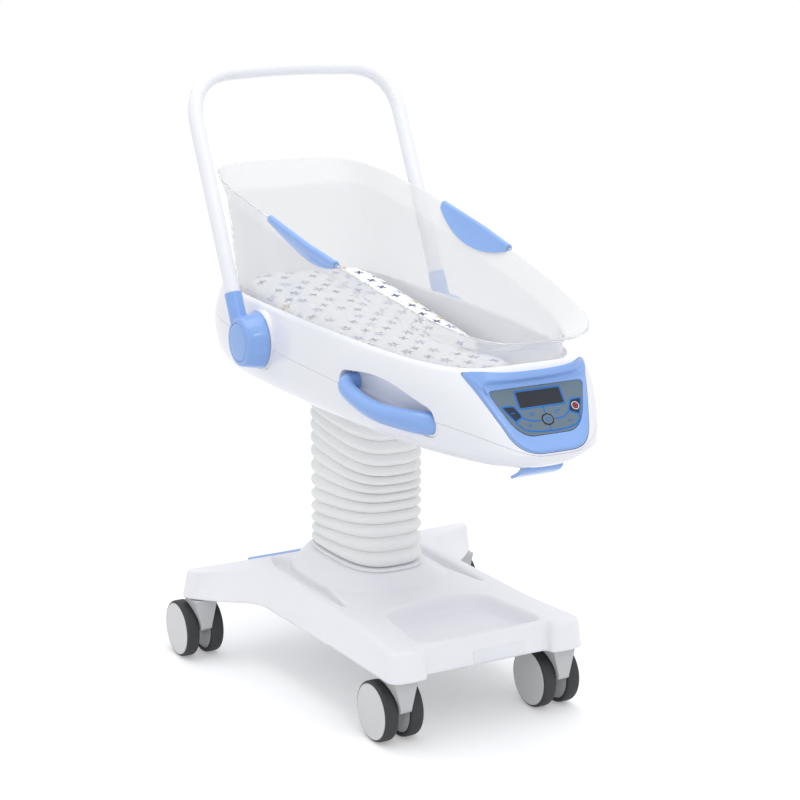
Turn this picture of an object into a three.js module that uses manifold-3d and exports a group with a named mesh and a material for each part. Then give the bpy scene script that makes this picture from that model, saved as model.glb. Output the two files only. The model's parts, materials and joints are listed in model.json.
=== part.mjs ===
// Hospital bassinet: a clear tub on a tilting deck, carried by a lifting column on twin-wheel casters.
// Millimetres, +Z up. The control panel (foot end) faces -Y, the push handle stands at the head end, +Y.
import * as THREE from 'three';
import { mergeVertices } from 'three/addons/utils/BufferGeometryUtils.js';
import Module from 'manifold-3d';

const wasm = await Module();
wasm.setup();

// Clearances
const RUN_GAP = 0.4; // between pieces that turn or slide on each other
const SEAT_GAP = 0.3; // between pieces that rest on each other

// Casters
const WHEEL_RADIUS = 50;
const RIM_RADIUS = 43;
const TYRE_WIDTH = 24;
const WHEEL_GAP = 22;
const CASTER_TRAIL = 33;
const FORK_TOP = 112.5;
const FORK_TOP_WIDTH = 43;
const FORK_TAPER_FOOT = 66;
const AXLE_RADIUS = 5;
const STEM_RADIUS = 7;
const STEM_LENGTH = 16;
const FRONT_STEM = { x: 149, y: -286 };
const REAR_STEM = { x: 263, y: 220 };

// Base: outlines as [x, y, corner radius], front to rear on the right side
const BASE_BOTTOM = 113;
const BASE_SHOULDER = 159;
const BASE_TOP = 165;
const BASE_REAR = 232;
const BASE_FOOT_OUTLINE = [
  [115, -303, 8], [115, -321, 18], [184, -321, 28], [182, -200, 60], [195, 134, 30],
  [256, 178, 50], [296, 226, 22], [288, 250, 18], [150, 246, 20],
];
const BASE_TOP_OUTLINE = [
  [118, -299, 8], [118, -317, 18], [181, -317, 28], [164, -200, 60], [162, 160, 30],
  [228, 194, 50], [287, 222, 14], [284, 238, 10], [150, BASE_REAR, 20],
];
const BASE_EDGE = 6;
const TRAY_RECESS = [[119, -289, 22], [97, -134, 30]];
const TRAY_RECESS_BOW = 22;
const TRAY_RECESS_FLOOR = 138;
const SIDE_SLOT = [[137, -104, 6], [143, 178, 40], [120, 236, 18], [88, 170, 60]];
const SIDE_SLOT_FLOOR = 147;
const HOLLOW_DRAFT = 9;
const PEDESTAL_TOP = 188;
const PEDESTAL_SKIRT = 46;
const CHASSIS_THICKNESS = 9;
const CHASSIS_ARM_HALF = 13;
const SOCKET_RADIUS = 13;
const SOCKET_TOP = 131;

// Brake bar behind the base
const BRAKE_BAR = { half: 151, y: 262, z: 149, width: 18, thickness: 9 };
const BRAKE_PIVOT = { y: 217, z: 143 };
const BRAKE_ARM_HALF = 19;
const BRAKE_PIN_RADIUS = 4;
const BRAKE_PIN_HALF = BRAKE_ARM_HALF + 10;

// Column and bellows
const COLUMN_Y = 100;
const COLUMN_OUTER = { half: 50, length: 70, wall: 4, top: 362 };
const COLUMN_INNER_WALL = 4;
const COLUMN_INNER_BOTTOM = 206;
const COLUMN_INNER_TOP = 444;
const BELLOWS = { half: 72, length: 122, rib: 11, wall: 2.5, ribs: 13, sway: 15 };
const COLLAR_HEIGHT = 6;

// Tilt bearing of the deck
const TILT_PIN = { z: 505, radius: 7, half: 47 };
const HEAD_LUG = { x: 27, thickness: 6, half: 20 };
const FRAME_LUG = { x: 37, thickness: 6, half: 17 };
const FRAME_THICKNESS = 4;
const FRAME_PLATE = { half: 92, length: 150 };
const BORE_OVERRUN = 5; // how far a bore's cutter passes its pin
const HEAD_PLATE = { half: 44, length: 40, thickness: 6 };

// Tub and mattress
const TRAY_SLOPE = Math.tan(THREE.MathUtils.degToRad(9));
const RIM_SLOPE = Math.tan(THREE.MathUtils.degToRad(11.5));
const RIM_DROOP = { start: 100, rate: 1e-4 }; // the rim levels off towards the head end
const TRAY_FLOOR = 552;
const TUB_RIM = 767;
const TUB_WALL = 3.5;
const TUB_FLOOR = { half: 138, front: -381, rear: 355, taper: 0.1 };
const TUB_DRAFT = 12; // how much wider each side is at the shoulder than at the floor
const TUB_FLARE = 20; // and at the lip than at the shoulder
const TUB_SHOULDER = { half: TUB_FLOOR.half + TUB_DRAFT, front: -400, rear: 388, taper: 0.14 };
const TUB_LIP = { half: TUB_SHOULDER.half + TUB_FLARE, front: -463, rear: 430, taper: 0.19, rearPower: 4.8 };
const TUB_LIP_HEIGHT = 38;
const TUB_BEAD = 3;
const TUB_POWER = 3.9; // squareness of the outline in front
const TUB_REAR_POWER = 8; // and at the head end
const TRAY_GAP = 3;
const MATTRESS_THICKNESS = 47;
const MATTRESS_GAP = 3;
const TUB_GRIP = { front: -102, rear: 117, thickness: 3, depth: 32, tip: 7, head: 4 };

// Deck shells
const HULL_BOTTOM = 478;
const HULL_BELT = 565;
const HULL_CREST = 634;
const CREST_RISE = 6;
const HULL_MARGIN = 25; // width of the rim beside the tub's shoulder
const HULL_HALF = TUB_SHOULDER.half + HULL_MARGIN;
const HULL_REAR = 455;
const CREST_INSET = 13;
const CREST_INSET_REAR = 19;
const BILGE_TOP = 514;
const BILGE_INSET = 55;
const HULL_POWER = 4.4;
const BOW_POWER = 2.5; // how square the front half is at the keel
const BOW_TOP = 600; // where the front half gets as square as the rear
const FRONT_TAPER = 0.08;
const WALL = 3.5;
const PART_HEIGHT = 565;
const PART_RISE = 20;
const PART_DIP = 36;

// Front console
const CONSOLE_FOOT = { y: -502, z: 510 };
const CONSOLE_RAKE = 37;
const BEZEL_FOOT = 4;
const BEZEL_HEIGHT = 135;
const BEZEL_EAR = 9; // how far the bezel's upper corners rise above its middle
const BEZEL_TOP_HALF = 110;
const BEZEL_BOTTOM_HALF = 60;
const BEZEL_DEPTH = 5.5;
const BEZEL_LIP = 2.2;
const BEZEL_HOOD = 9;
const PANEL_SINK = 2;
const PANEL_THICKNESS = 2;
const DISPLAY = { x: 0, y: 93, width: 77, height: 25 };
const KEY_TRAVEL = 0.8;
const KEY_PROUD = 0.4;

// Tilt lever under the console
const LEVER_PIVOT = { y: -447, z: 500 };
const LEVER_HALF = 37;
const LEVER_THICKNESS = 5;
const LEVER_PIN_RADIUS = 3;
const LEVER_EAR = 7; // reach of the ears that hold the pin, beside the paddle

// Side grips of the deck
const GRIP_POCKET = {
  front: -374, rear: -128, foot: 543, height: 40, arch: 24, slant: 20, depth: 22, wall: 4, corner: 19,
};
const GRIP_RADIUS = 14;
const GRIP_STANDOFF = 14;

// Push handle
const HANDLE_AXIS = { y: 152, z: 578 };
const BOSS_PROUD = 2;
const BOSS_FACE = HULL_HALF + BOSS_PROUD;
const TUBE_STANDOFF = 24;
const HANDLE_X = BOSS_FACE + TUBE_STANDOFF;
const HANDLE_LEAN = 26;
const HANDLE_REACH = 484;
const HANDLE_TUBE_RADIUS = 13;
const HANDLE_BEND = 96;
const HANDLE_BOW = 6;
const SLEEVE_RADIUS = 15;
const SLEEVE_END = 88;
const SLEEVE_GRASP = 34;
const SLEEVE_OFFSET = 9;
const HUB_INNER_RADIUS = 48;
const HUB_OUTER_RADIUS = 38;
const HUB_DEPTH = 38;
const HUB_SPIGOT_RADIUS = 14;
const BOSS_RADIUS = 51;
const BUTTON_RADIUS = 33;
const BUTTON_THICKNESS = 7;
const BUTTON_TRAVEL = 4;

const WHEEL_SIDES = 18;
const RING = 32; // points round a deck or tub section

// Materials
function finish(color, roughness, metalness) {
  return new THREE.MeshStandardMaterial({ color, roughness, metalness });
}

const plastic = (color, roughness = 0.4) => finish(color, roughness, 0);
const metal = (color, roughness = 0.35) => finish(color, roughness, 0.9);
const WHITE = plastic(0xeeeff6, 0.3);
const BASE_WHITE = plastic(0xe2e1e6, 0.45);
const BLUE = plastic(0x82aae6, 0.3);
const FORK_GREY = plastic(0xc8c8c8, 0.4);
const DISC_GREY = plastic(0xd0d0d0, 0.4);
const TYRE_GREY = plastic(0x464646, 0.7);
const RUBBER_WHITE = plastic(0xe6e8e8, 0.6);
const PANEL_GREY = plastic(0x70828a, 0.5);
const DISPLAY_DARK = plastic(0x3c3e46, 0.15);
const KEY_DARK = plastic(0x4a545c, 0.5);
const STEEL = metal(0x9a9da2);
const LACQUERED_STEEL = plastic(0xf2f3f6, 0.3);
const COTTON = plastic(0xf4f4f4, 0.9);
const ACRYLIC = plastic(0xf0f2f4, 0.05);
ACRYLIC.transparent = true;
ACRYLIC.opacity = 0.25;

const assembly = new THREE.Group();

function place(name, geometry, material, parent = assembly) {
  const mesh = new THREE.Mesh(geometry, material);
  mesh.name = name;
  parent.add(mesh);
  return mesh;
}

// Joins equal vertices and drops the flat triangles that poles and seams leave.
function weld(geometry) {
  const bare = new THREE.BufferGeometry();
  bare.setAttribute('position', geometry.getAttribute('position'));
  bare.setIndex(geometry.getIndex());
  const merged = mergeVertices(bare, 1e-4);
  const index = merged.getIndex().array;
  const kept = [];
  for (let i = 0; i < index.length; i += 3) {
    const [a, b, c] = index.slice(i, i + 3);
    if (a !== b && b !== c && c !== a) kept.push(a, b, c);
  }
  merged.setIndex(kept);
  return merged;
}

function solidOf(geometry) {
  const welded = weld(geometry);
  const vertProperties = new Float32Array(welded.getAttribute('position').array);
  const triVerts = new Uint32Array(welded.getIndex().array);
  return new wasm.Manifold(new wasm.Mesh({ numProp: 3, vertProperties, triVerts }));
}

function geometryOf(solid) {
  const mesh = solid.getMesh();
  const geometry = new THREE.BufferGeometry();
  geometry.setAttribute('position', new THREE.BufferAttribute(mesh.vertProperties, 3));
  geometry.setIndex(new THREE.BufferAttribute(mesh.triVerts, 1));
  return geometry;
}

function cut(geometry, ...tools) {
  return geometryOf(tools.reduce((left, tool) => left.subtract(solidOf(tool)), solidOf(geometry)));
}

function join(...pieces) {
  return geometryOf(pieces.map(solidOf).reduce((sum, piece) => sum.add(piece)));
}

function common(a, b) {
  return geometryOf(solidOf(a).intersect(solidOf(b)));
}

function signedVolume(positions, index) {
  const [a, b, c] = [new THREE.Vector3(), new THREE.Vector3(), new THREE.Vector3()];
  let volume = 0;
  for (let i = 0; i < index.length; i += 3) {
    [a, b, c].forEach((corner, k) => corner.fromArray(positions, 3 * index[i + k]));
    volume += a.dot(b.cross(c)) / 6;
  }
  return volume;
}

// The triangles that fill one ring, as places in it: a fan round its middle would leave a hollow section.
function fill(ring) {
  const along = ring[0].clone().sub(ring[1]).cross(ring[2].clone().sub(ring[1])).normalize();
  const upright = Math.abs(along.y) > 0.5;
  const flat = (p) => new THREE.Vector2(p.x, upright ? p.z : p.y);
  return THREE.ShapeUtils.triangulateShape(ring.map(flat), []).map((face) => face.sort((a, b) => a - b));
}

// A closed skin through rings of points: capped at both ends, or joined end to start.
function loft(rings, closed = false, hollowEnds = false) {
  const count = rings[0].length;
  const positions = rings.flat().flatMap((p) => p.toArray());
  const index = [];
  const spans = closed ? rings.length : rings.length - 1;
  for (let r = 0; r < spans; r += 1) {
    const low = r * count;
    const high = ((r + 1) % rings.length) * count;
    for (let i = 0; i < count; i += 1) {
      const j = (i + 1) % count;
      index.push(low + i, low + j, high + j, low + i, high + j, high + i);
    }
  }
  if (!closed) {
    const ends = [rings[0], rings.at(-1)];
    ends.forEach((ring, end) => {
      const start = end * (rings.length - 1) * count;
      if (hollowEnds) {
        fill(ring).forEach(([a, b, c]) => index.push(...(end ? [a, b, c] : [c, b, a]).map((i) => start + i)));
        return;
      }
      const centre = ring.reduce((sum, p) => sum.add(p), new THREE.Vector3()).divideScalar(count);
      const hub = positions.length / 3;
      positions.push(...centre.toArray());
      for (let i = 0; i < count; i += 1) {
        const j = (i + 1) % count;
        index.push(hub, start + (end ? i : j), start + (end ? j : i));
      }
    });
  }
  if (signedVolume(positions, index) < 0) {
    for (let i = 0; i < index.length; i += 3) [index[i], index[i + 1]] = [index[i + 1], index[i]];
  }
  const geometry = new THREE.BufferGeometry();
  geometry.setAttribute('position', new THREE.Float32BufferAttribute(positions, 3));
  geometry.setIndex(index);
  return geometry;
}

// A closed outline through corners [x, y, radius], each corner rounded by its radius.
function roundedShape(corners) {
  const shape = new THREE.Shape();
  const points = corners.map(([x, y]) => new THREE.Vector2(x, y));
  points.forEach((corner, i) => {
    const before = points[(i + points.length - 1) % points.length];
    const after = points[(i + 1) % points.length];
    const radius = corners[i][2] ?? 0;
    const arrive = before.clone().sub(corner);
    const leave = after.clone().sub(corner);
    const start = corner.clone().add(arrive.setLength(Math.min(radius, arrive.length() * 0.48)));
    const stop = corner.clone().add(leave.setLength(Math.min(radius, leave.length() * 0.48)));
    if (i === 0) shape.moveTo(start.x, start.y);
    else shape.lineTo(start.x, start.y);
    if (radius > 0) shape.quadraticCurveTo(corner.x, corner.y, stop.x, stop.y);
  });
  shape.closePath();
  return shape;
}

const rectangle = (left, right, low, high, radius) => roundedShape([
  [left, low, radius], [right, low, radius], [right, high, radius], [left, high, radius],
]);

// Both halves of an outline that is the same left and right of X = 0, from its right half.
const bothSides = (right) => [...right, ...right.map(([x, y, r]) => [-x, y, r]).reverse()];
const mirrored = (right) => roundedShape(bothSides(right));

function slab(shape, low, high, bevel = 0, curveSegments = 4) {
  const geometry = new THREE.ExtrudeGeometry(shape, {
    depth: high - low - 2 * bevel,
    bevelEnabled: bevel > 0,
    bevelThickness: bevel,
    bevelSize: bevel,
    bevelOffset: -bevel,
    bevelSegments: 2,
    curveSegments,
  });
  return geometry.translate(0, 0, low + bevel);
}

// A slab whose outline lies in the YZ plane (shape x = Y, shape y = Z), between two X values.
const crossSlab = (shape, low, high, bevel = 0, curveSegments = 4) => {
  const geometry = slab(shape, low, high, bevel, curveSegments);
  return geometry.applyMatrix4(new THREE.Matrix4().set(0, 0, 1, 0, 1, 0, 0, 0, 0, 1, 0, 0, 0, 0, 0, 1));
};

// A solid of revolution about X from profile points [radius, x].
function turnedX(profile, segments = 24) {
  const points = profile.map(([radius, along]) => new THREE.Vector2(radius, along));
  return new THREE.LatheGeometry(points, segments).rotateZ(-Math.PI / 2);
}

const rodX = (radius, left, right, y, z, segments = 14) =>
  new THREE.CylinderGeometry(radius, radius, right - left, segments)
    .rotateZ(Math.PI / 2)
    .translate((left + right) / 2, y, z);

const rodZ = (radius, low, high, x, y, segments = 14) =>
  new THREE.CylinderGeometry(radius, radius, high - low, segments)
    .rotateX(Math.PI / 2)
    .translate(x, y, (low + high) / 2);

const block = (x0, x1, y0, y1, z0, z1) =>
  new THREE.BoxGeometry(x1 - x0, y1 - y0, z1 - z0).translate((x0 + x1) / 2, (y0 + y1) / 2, (z0 + z1) / 2);

// A round bar along a curve, sampled at the given shares of its length. The section's one axis leans to "up".
function bar(curve, shares, radius, sides, up) {
  return loft(shares.map((share) => {
    const centre = curve.getPointAt(share);
    const tangent = curve.getTangentAt(share);
    const across = tangent.clone().cross(up).normalize();
    const over = across.clone().cross(tangent);
    return Array.from({ length: sides }, (_, i) => {
      const turn = (2 * Math.PI * i) / sides;
      const offset = across.clone().multiplyScalar(Math.cos(turn)).addScaledVector(over, Math.sin(turn));
      return centre.clone().addScaledVector(offset, radius);
    });
  }));
}

function evenly(low, high, steps) {
  return Array.from({ length: steps + 1 }, (_, i) => low + ((high - low) * i) / steps);
}

// A point of the unit superellipse at a share of the turn, with the points drawn towards its corners.
function squarePoint(share, power, rearPower) {
  const bias = (value) => Math.sign(value) * Math.abs(value) ** 0.7;
  const turn = 2 * Math.PI * share;
  const across = bias(Math.cos(turn));
  const along = bias(Math.sin(turn));
  const square = along < 0 ? power : rearPower;
  const reach = (Math.abs(across) ** square + Math.abs(along) ** square) ** (-1 / square);
  return [across * reach, along * reach];
}

// Points of a rounded oblong in plan: a superellipse that narrows towards the front.
function planRing(outline, height) {
  const { half, front, rear, taper = 0, count = RING } = outline;
  const { power = TUB_POWER, rearPower = TUB_REAR_POWER } = outline;
  return Array.from({ length: count }, (_, i) => {
    const [u, v] = squarePoint(i / count, power, rearPower);
    const x = half * u * (1 + taper * Math.min(v, 0));
    const y = (front + rear) / 2 + ((rear - front) / 2) * v;
    return new THREE.Vector3(x, y, typeof height === 'function' ? height(y) : height);
  });
}

const grown = (outline, amount) => ({
  ...outline,
  half: outline.half + amount,
  front: outline.front - amount,
  rear: outline.rear + amount,
});

// A solid through outlines of the same corners at several heights: [corners, height] from below.
function outlineLoft(levels) {
  return loft(levels.map(([corners, height]) => {
    const points = roundedShape(corners).getPoints(3);
    const open = points[0].distanceTo(points.at(-1)) < 1e-6 ? points.slice(0, -1) : points;
    return open.map((p) => new THREE.Vector3(p.x, p.y, height));
  }), false, true);
}

// Corners moved inwards along the bisector of their two edges.
function inset(corners, amount) {
  const turnSum = THREE.ShapeUtils.area(corners.map(([x, y]) => new THREE.Vector2(x, y)));
  return corners.map(([x, y, r], i) => {
    const before = corners[(i + corners.length - 1) % corners.length];
    const after = corners[(i + 1) % corners.length];
    const normal = ([x0, y0], [x1, y1]) => (
      new THREE.Vector2(y0 - y1, x1 - x0).normalize().multiplyScalar(Math.sign(turnSum))
    );
    const first = normal(before, [x, y]);
    const second = normal([x, y], after);
    const bisector = first.clone().add(second).normalize();
    const step = amount / Math.max(0.35, bisector.dot(first));
    return [x + bisector.x * step, y + bisector.y * step, r];
  });
}

// Casters: fork with its swivel stem, axle, and two wheels of tyre and disc
function casterFork() {
  const side = roundedShape([
    [-CASTER_TRAIL - 20, FORK_TOP, 3], [-CASTER_TRAIL - 20, 60, 6], [-16, 42, 12], [0, 34, 14],
    [17, 44, 14], [13, 68, 12], [-CASTER_TRAIL + 23, FORK_TOP, 6],
  ]);
  const web = WHEEL_GAP / 2 - 0.8;
  const top = FORK_TOP_WIDTH / 2;
  const taper = roundedShape([
    [-web, FORK_TAPER_FOOT], [web, FORK_TAPER_FOOT], [top, FORK_TOP], [-top, FORK_TOP],
  ]);
  const wedge = slab(taper, -20, 80).rotateX(Math.PI / 2);
  const head = common(crossSlab(side, -top, top, 0, 3), wedge);
  const room = [[-60, -web], [web, 60]].map((span) => rodX(WHEEL_RADIUS + 2, ...span, 0, WHEEL_RADIUS, 22));
  const stem = rodZ(STEM_RADIUS, FORK_TOP - 1, FORK_TOP + STEM_LENGTH, 0, -CASTER_TRAIL);
  const body = join(crossSlab(side, -web, web, 0, 3), cut(head, ...room), stem);
  const bore = rodX(AXLE_RADIUS + SEAT_GAP, -web - 1, web + 1, 0, WHEEL_RADIUS);
  return cut(body, bore);
}

function casterWheel(name, side, caster) {
  const inner = WHEEL_GAP / 2;
  const outer = inner + TYRE_WIDTH;
  const bead = RIM_RADIUS + SEAT_GAP;
  const tyre = turnedX([
    [bead, inner], [WHEEL_RADIUS - 4, inner], [WHEEL_RADIUS, inner + 6], [WHEEL_RADIUS, outer - 6],
    [WHEEL_RADIUS - 4, outer], [bead, outer], [bead, inner],
  ], WHEEL_SIDES);
  const bore = AXLE_RADIUS + RUN_GAP;
  const disc = turnedX([
    [bore, inner + 0.6], [RIM_RADIUS, inner + 2], [RIM_RADIUS, outer + 0.6], [RIM_RADIUS - 2.5, outer + 0.6],
    [RIM_RADIUS - 3.5, outer - 0.4], [0, outer], [0, outer - 5], [bore, outer - 5], [bore, inner + 0.6],
  ], WHEEL_SIDES);
  for (const [part, geometry, material] of [['tyre', tyre, TYRE_GREY], ['disc', disc, DISC_GREY]]) {
    if (side < 0) geometry.rotateZ(Math.PI);
    geometry.translate(0, 0, WHEEL_RADIUS);
    place(`${name}_${part}_${side < 0 ? 'left' : 'right'}`, geometry, material, caster);
  }
}

function addCaster(name, x, y) {
  const caster = new THREE.Group();
  caster.position.set(x, y + CASTER_TRAIL, 0);
  assembly.add(caster);
  place(`${name}_fork`, casterFork(), FORK_GREY, caster);
  const axleHalf = WHEEL_GAP / 2 + TYRE_WIDTH - 6;
  place(`${name}_axle`, rodX(AXLE_RADIUS, -axleHalf, axleHalf, 0, WHEEL_RADIUS), STEEL, caster);
  for (const side of [-1, 1]) casterWheel(name, side, caster);
}

const CASTERS = [
  ['caster_front_left', -FRONT_STEM.x, FRONT_STEM.y], ['caster_front_right', FRONT_STEM.x, FRONT_STEM.y],
  ['caster_rear_left', -REAR_STEM.x, REAR_STEM.y], ['caster_rear_right', REAR_STEM.x, REAR_STEM.y],
];
CASTERS.forEach((caster) => addCaster(...caster));

// Base: steel chassis under a moulded cover with splayed rear legs
function chassisSolid(grow, low) {
  const high = BASE_BOTTOM + CHASSIS_THICKNESS + grow;
  const plate = rectangle(-96 - grow, 96 + grow, FRONT_STEM.y - grow, REAR_STEM.y - 30 + grow, 10);
  const arms = [FRONT_STEM, REAR_STEM].map(({ x, y }) => {
    const inner = y < 0 ? [0, y] : [0, y - 70];
    return [-1, 1].map((s) => {
      const arm = new THREE.Vector2(s * x - inner[0], y - inner[1]);
      const across = new THREE.Vector2(-arm.y, arm.x).setLength(CHASSIS_ARM_HALF + grow);
      const outline = roundedShape([
        [inner[0] + across.x, inner[1] + across.y], [inner[0] - across.x, inner[1] - across.y],
        [s * x - across.x, y - across.y], [s * x + across.x, y + across.y],
      ]);
      return slab(outline, low, high);
    });
  });
  const sockets = CASTERS.map(([, x, y]) => rodZ(SOCKET_RADIUS + grow, low, SOCKET_TOP + grow, x, y, 12));
  return join(slab(plate, low, high), ...arms.flat(), ...sockets);
}

const columnOutline = (grow) => rectangle(
  -COLUMN_OUTER.half - grow, COLUMN_OUTER.half + grow,
  COLUMN_Y - COLUMN_OUTER.length - grow, COLUMN_Y + COLUMN_OUTER.length + grow, 14,
);

function chassis() {
  const bores = CASTERS.map(([, x, y]) => rodZ(STEM_RADIUS + RUN_GAP, BASE_BOTTOM - 1, SOCKET_TOP - 2, x, y));
  return cut(chassisSolid(0, BASE_BOTTOM), ...bores);
}

// A basin with sloped sides, for the hollows moulded into the cover's top.
const hollow = (corners, floor) => outlineLoft([
  [inset(corners, HOLLOW_DRAFT), floor], [inset(corners, HOLLOW_DRAFT * 0.6), floor + 3],
  [corners, BASE_TOP + 0.5], [inset(corners, -1), BASE_TOP + 30],
]);

const brakeRod = (radius, half) => rodX(radius, -half, half, BRAKE_PIVOT.y, BRAKE_PIVOT.z);

function baseCover() {
  const top = bothSides(BASE_TOP_OUTLINE);
  const body = outlineLoft([
    [bothSides(BASE_FOOT_OUTLINE), BASE_BOTTOM], [top, BASE_SHOULDER],
    [inset(top, 1.5), BASE_TOP - 2], [inset(top, BASE_EDGE), BASE_TOP],
  ]);
  const skirt = { half: BELLOWS.half + PEDESTAL_SKIRT, power: 3, rearPower: 3, count: 28 };
  const foot = { ...skirt, front: COLUMN_Y - BELLOWS.length - 30, rear: BASE_REAR - 4 };
  const shoulder = {
    ...skirt,
    half: BELLOWS.half + 16,
    front: COLUMN_Y - BELLOWS.length - 12,
    rear: BASE_REAR - 5,
  };
  const crown = {
    ...skirt,
    half: BELLOWS.half + 7,
    front: COLUMN_Y - BELLOWS.length - 7,
    rear: COLUMN_Y + BELLOWS.length + 2,
  };
  const pedestal = loft([
    planRing(foot, SIDE_SLOT_FLOOR - 4), planRing(foot, BASE_TOP - 2), planRing(shoulder, PEDESTAL_TOP - 6),
    planRing(crown, PEDESTAL_TOP),
  ]);
  const slots = [-1, 1].map((s) => hollow(SIDE_SLOT.map(([x, y, r]) => [s * x, y, r]), SIDE_SLOT_FLOOR));
  const bow = [0, TRAY_RECESS[1][1] + TRAY_RECESS_BOW, 60];
  const [frontCorner, rearCorner] = TRAY_RECESS;
  const mirror = ([x, y, r]) => [-x, y, r];
  const recessOutline = [frontCorner, rearCorner, bow, mirror(rearCorner), mirror(frontCorner)];
  const recess = hollow(recessOutline, TRAY_RECESS_FLOOR);
  const well = slab(columnOutline(RUN_GAP), 100, 220);
  const brakeSlot = block(
    -BRAKE_ARM_HALF - 1, BRAKE_ARM_HALF + 1, BRAKE_PIVOT.y - 10, BASE_REAR + 40,
    BRAKE_PIVOT.z - 18, BRAKE_PIVOT.z + 13,
  );
  const brakePin = brakeRod(BRAKE_PIN_RADIUS + SEAT_GAP, BRAKE_PIN_HALF + 1);
  const shell = join(cut(body, ...slots), pedestal);
  return cut(shell, recess, well, chassisSolid(SEAT_GAP, BASE_BOTTOM - 10), brakeSlot, brakePin);
}

function brakeBar() {
  const { half, y, z, width, thickness } = BRAKE_BAR;
  const plan = rectangle(-half, half, y - width / 2, y + width / 2, 8);
  const pad = slab(plan, z - thickness / 2, z + thickness / 2, 2, 3);
  const side = roundedShape([
    [BRAKE_PIVOT.y - 8, BRAKE_PIVOT.z - 8, 8], [y, z - thickness / 2 + 0.5, 4],
    [y, z + thickness / 2 - 0.5, 4], [BRAKE_PIVOT.y - 8, BRAKE_PIVOT.z + 8, 8],
  ]);
  const arm = crossSlab(side, -BRAKE_ARM_HALF + RUN_GAP, BRAKE_ARM_HALF - RUN_GAP, 0, 3);
  return cut(join(pad, arm), brakeRod(BRAKE_PIN_RADIUS + RUN_GAP, BRAKE_ARM_HALF + 1));
}

place('chassis', chassis(), STEEL);
place('base_cover', baseCover(), BASE_WHITE);
place('brake_bar', brakeBar(), BLUE);
place('brake_pin', brakeRod(BRAKE_PIN_RADIUS, BRAKE_PIN_HALF), STEEL);

// Lifting column: two telescoping tubes, with the tilt head on the inner one
function columnTube(inset, wall, low, high) {
  const bore = slab(columnOutline(-inset - wall), low - 1, high + 1, 0, 3);
  return cut(slab(columnOutline(-inset), low, high, 0, 3), bore);
}

const innerInset = COLUMN_OUTER.wall + RUN_GAP;
const columnFoot = BASE_BOTTOM + CHASSIS_THICKNESS + SEAT_GAP;
place('column_outer', columnTube(0, COLUMN_OUTER.wall, columnFoot, COLUMN_OUTER.top), LACQUERED_STEEL);
const columnInner = columnTube(innerInset, COLUMN_INNER_WALL, COLUMN_INNER_BOTTOM, COLUMN_INNER_TOP);
place('column_inner', columnInner, LACQUERED_STEEL);

const tiltBoreHalf = TILT_PIN.half + BORE_OVERRUN;

function tiltHead() {
  const low = COLUMN_INNER_TOP + SEAT_GAP;
  const reach = HEAD_PLATE.length + 24;
  const plan = rectangle(-HEAD_PLATE.half, HEAD_PLATE.half, COLUMN_Y - reach, COLUMN_Y + reach, 10);
  const plate = slab(plan, low, low + HEAD_PLATE.thickness, 0, 2);
  const lugSide = roundedShape([
    [COLUMN_Y - HEAD_PLATE.length, low + 1], [COLUMN_Y + HEAD_PLATE.length, low + 1],
    [COLUMN_Y + HEAD_LUG.half, TILT_PIN.z + 16, 16], [COLUMN_Y - HEAD_LUG.half, TILT_PIN.z + 16, 16],
  ]);
  const lugs = [-1, 1].map((s) => {
    const [a, b] = [s * HEAD_LUG.x, s * (HEAD_LUG.x + HEAD_LUG.thickness)].sort((m, n) => m - n);
    return crossSlab(lugSide, a, b, 0, 3);
  });
  const bore = rodX(TILT_PIN.radius + SEAT_GAP, -tiltBoreHalf, tiltBoreHalf, COLUMN_Y, TILT_PIN.z);
  return cut(join(plate, ...lugs), bore);
}

place('tilt_head', tiltHead(), STEEL);
place('tilt_pin', rodX(TILT_PIN.radius, -TILT_PIN.half, TILT_PIN.half, COLUMN_Y, TILT_PIN.z), STEEL);

// Bellows: ribs round the column, swaying forward and back as the soft folds settle
const COLLAR_BOTTOM = PEDESTAL_TOP + SEAT_GAP;
const BELLOWS_LOW = COLLAR_BOTTOM + COLLAR_HEIGHT + SEAT_GAP;
const BELLOWS_HIGH = HULL_BOTTOM - COLLAR_HEIGHT - 2 * SEAT_GAP;
const bellowsOutline = (inset, count = 24) => ({
  half: BELLOWS.half - inset,
  front: COLUMN_Y - BELLOWS.length + inset,
  rear: COLUMN_Y + BELLOWS.length - inset,
  power: 3,
  rearPower: 3,
  count,
});

function bellowsRing(inset, share) {
  const level = THREE.MathUtils.lerp(BELLOWS_LOW, BELLOWS_HIGH, share);
  const sway = BELLOWS.sway * Math.sin(2 * Math.PI * share);
  return planRing(bellowsOutline(inset), (y) => level - (sway * (y - COLUMN_Y)) / BELLOWS.length);
}

function bellows() {
  const skin = Array.from({ length: 2 * BELLOWS.ribs + 1 }, (_, i) => (
    bellowsRing(i % 2 ? 0 : BELLOWS.rib, i / (2 * BELLOWS.ribs))
  ));
  const boreStep = 5;
  const boreRings = Math.ceil(BELLOWS.ribs / boreStep);
  const bore = Array.from({ length: boreRings + 1 }, (_, i) => (
    bellowsRing(BELLOWS.rib + BELLOWS.wall, 1 - i / boreRings)
  ));
  return loft([...skin, ...bore], true);
}

function collar(low) {
  const count = 28;
  const [outside, inside] = [bellowsOutline(1, count), bellowsOutline(BELLOWS.rib + BELLOWS.wall, count)];
  const high = low + COLLAR_HEIGHT;
  return loft([
    planRing(outside, low), planRing(outside, high), planRing(inside, high), planRing(inside, low),
  ], true);
}

place('bellows', bellows(), RUBBER_WHITE);
place('bellows_collar_lower', collar(COLLAR_BOTTOM), WHITE);
place('bellows_collar_upper', collar(HULL_BOTTOM - COLLAR_HEIGHT - SEAT_GAP), WHITE);

// Deck: a boat-shaped hull of two shells. Its sections are set by height.
const consoleRun = Math.tan(THREE.MathUtils.degToRad(CONSOLE_RAKE));

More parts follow.
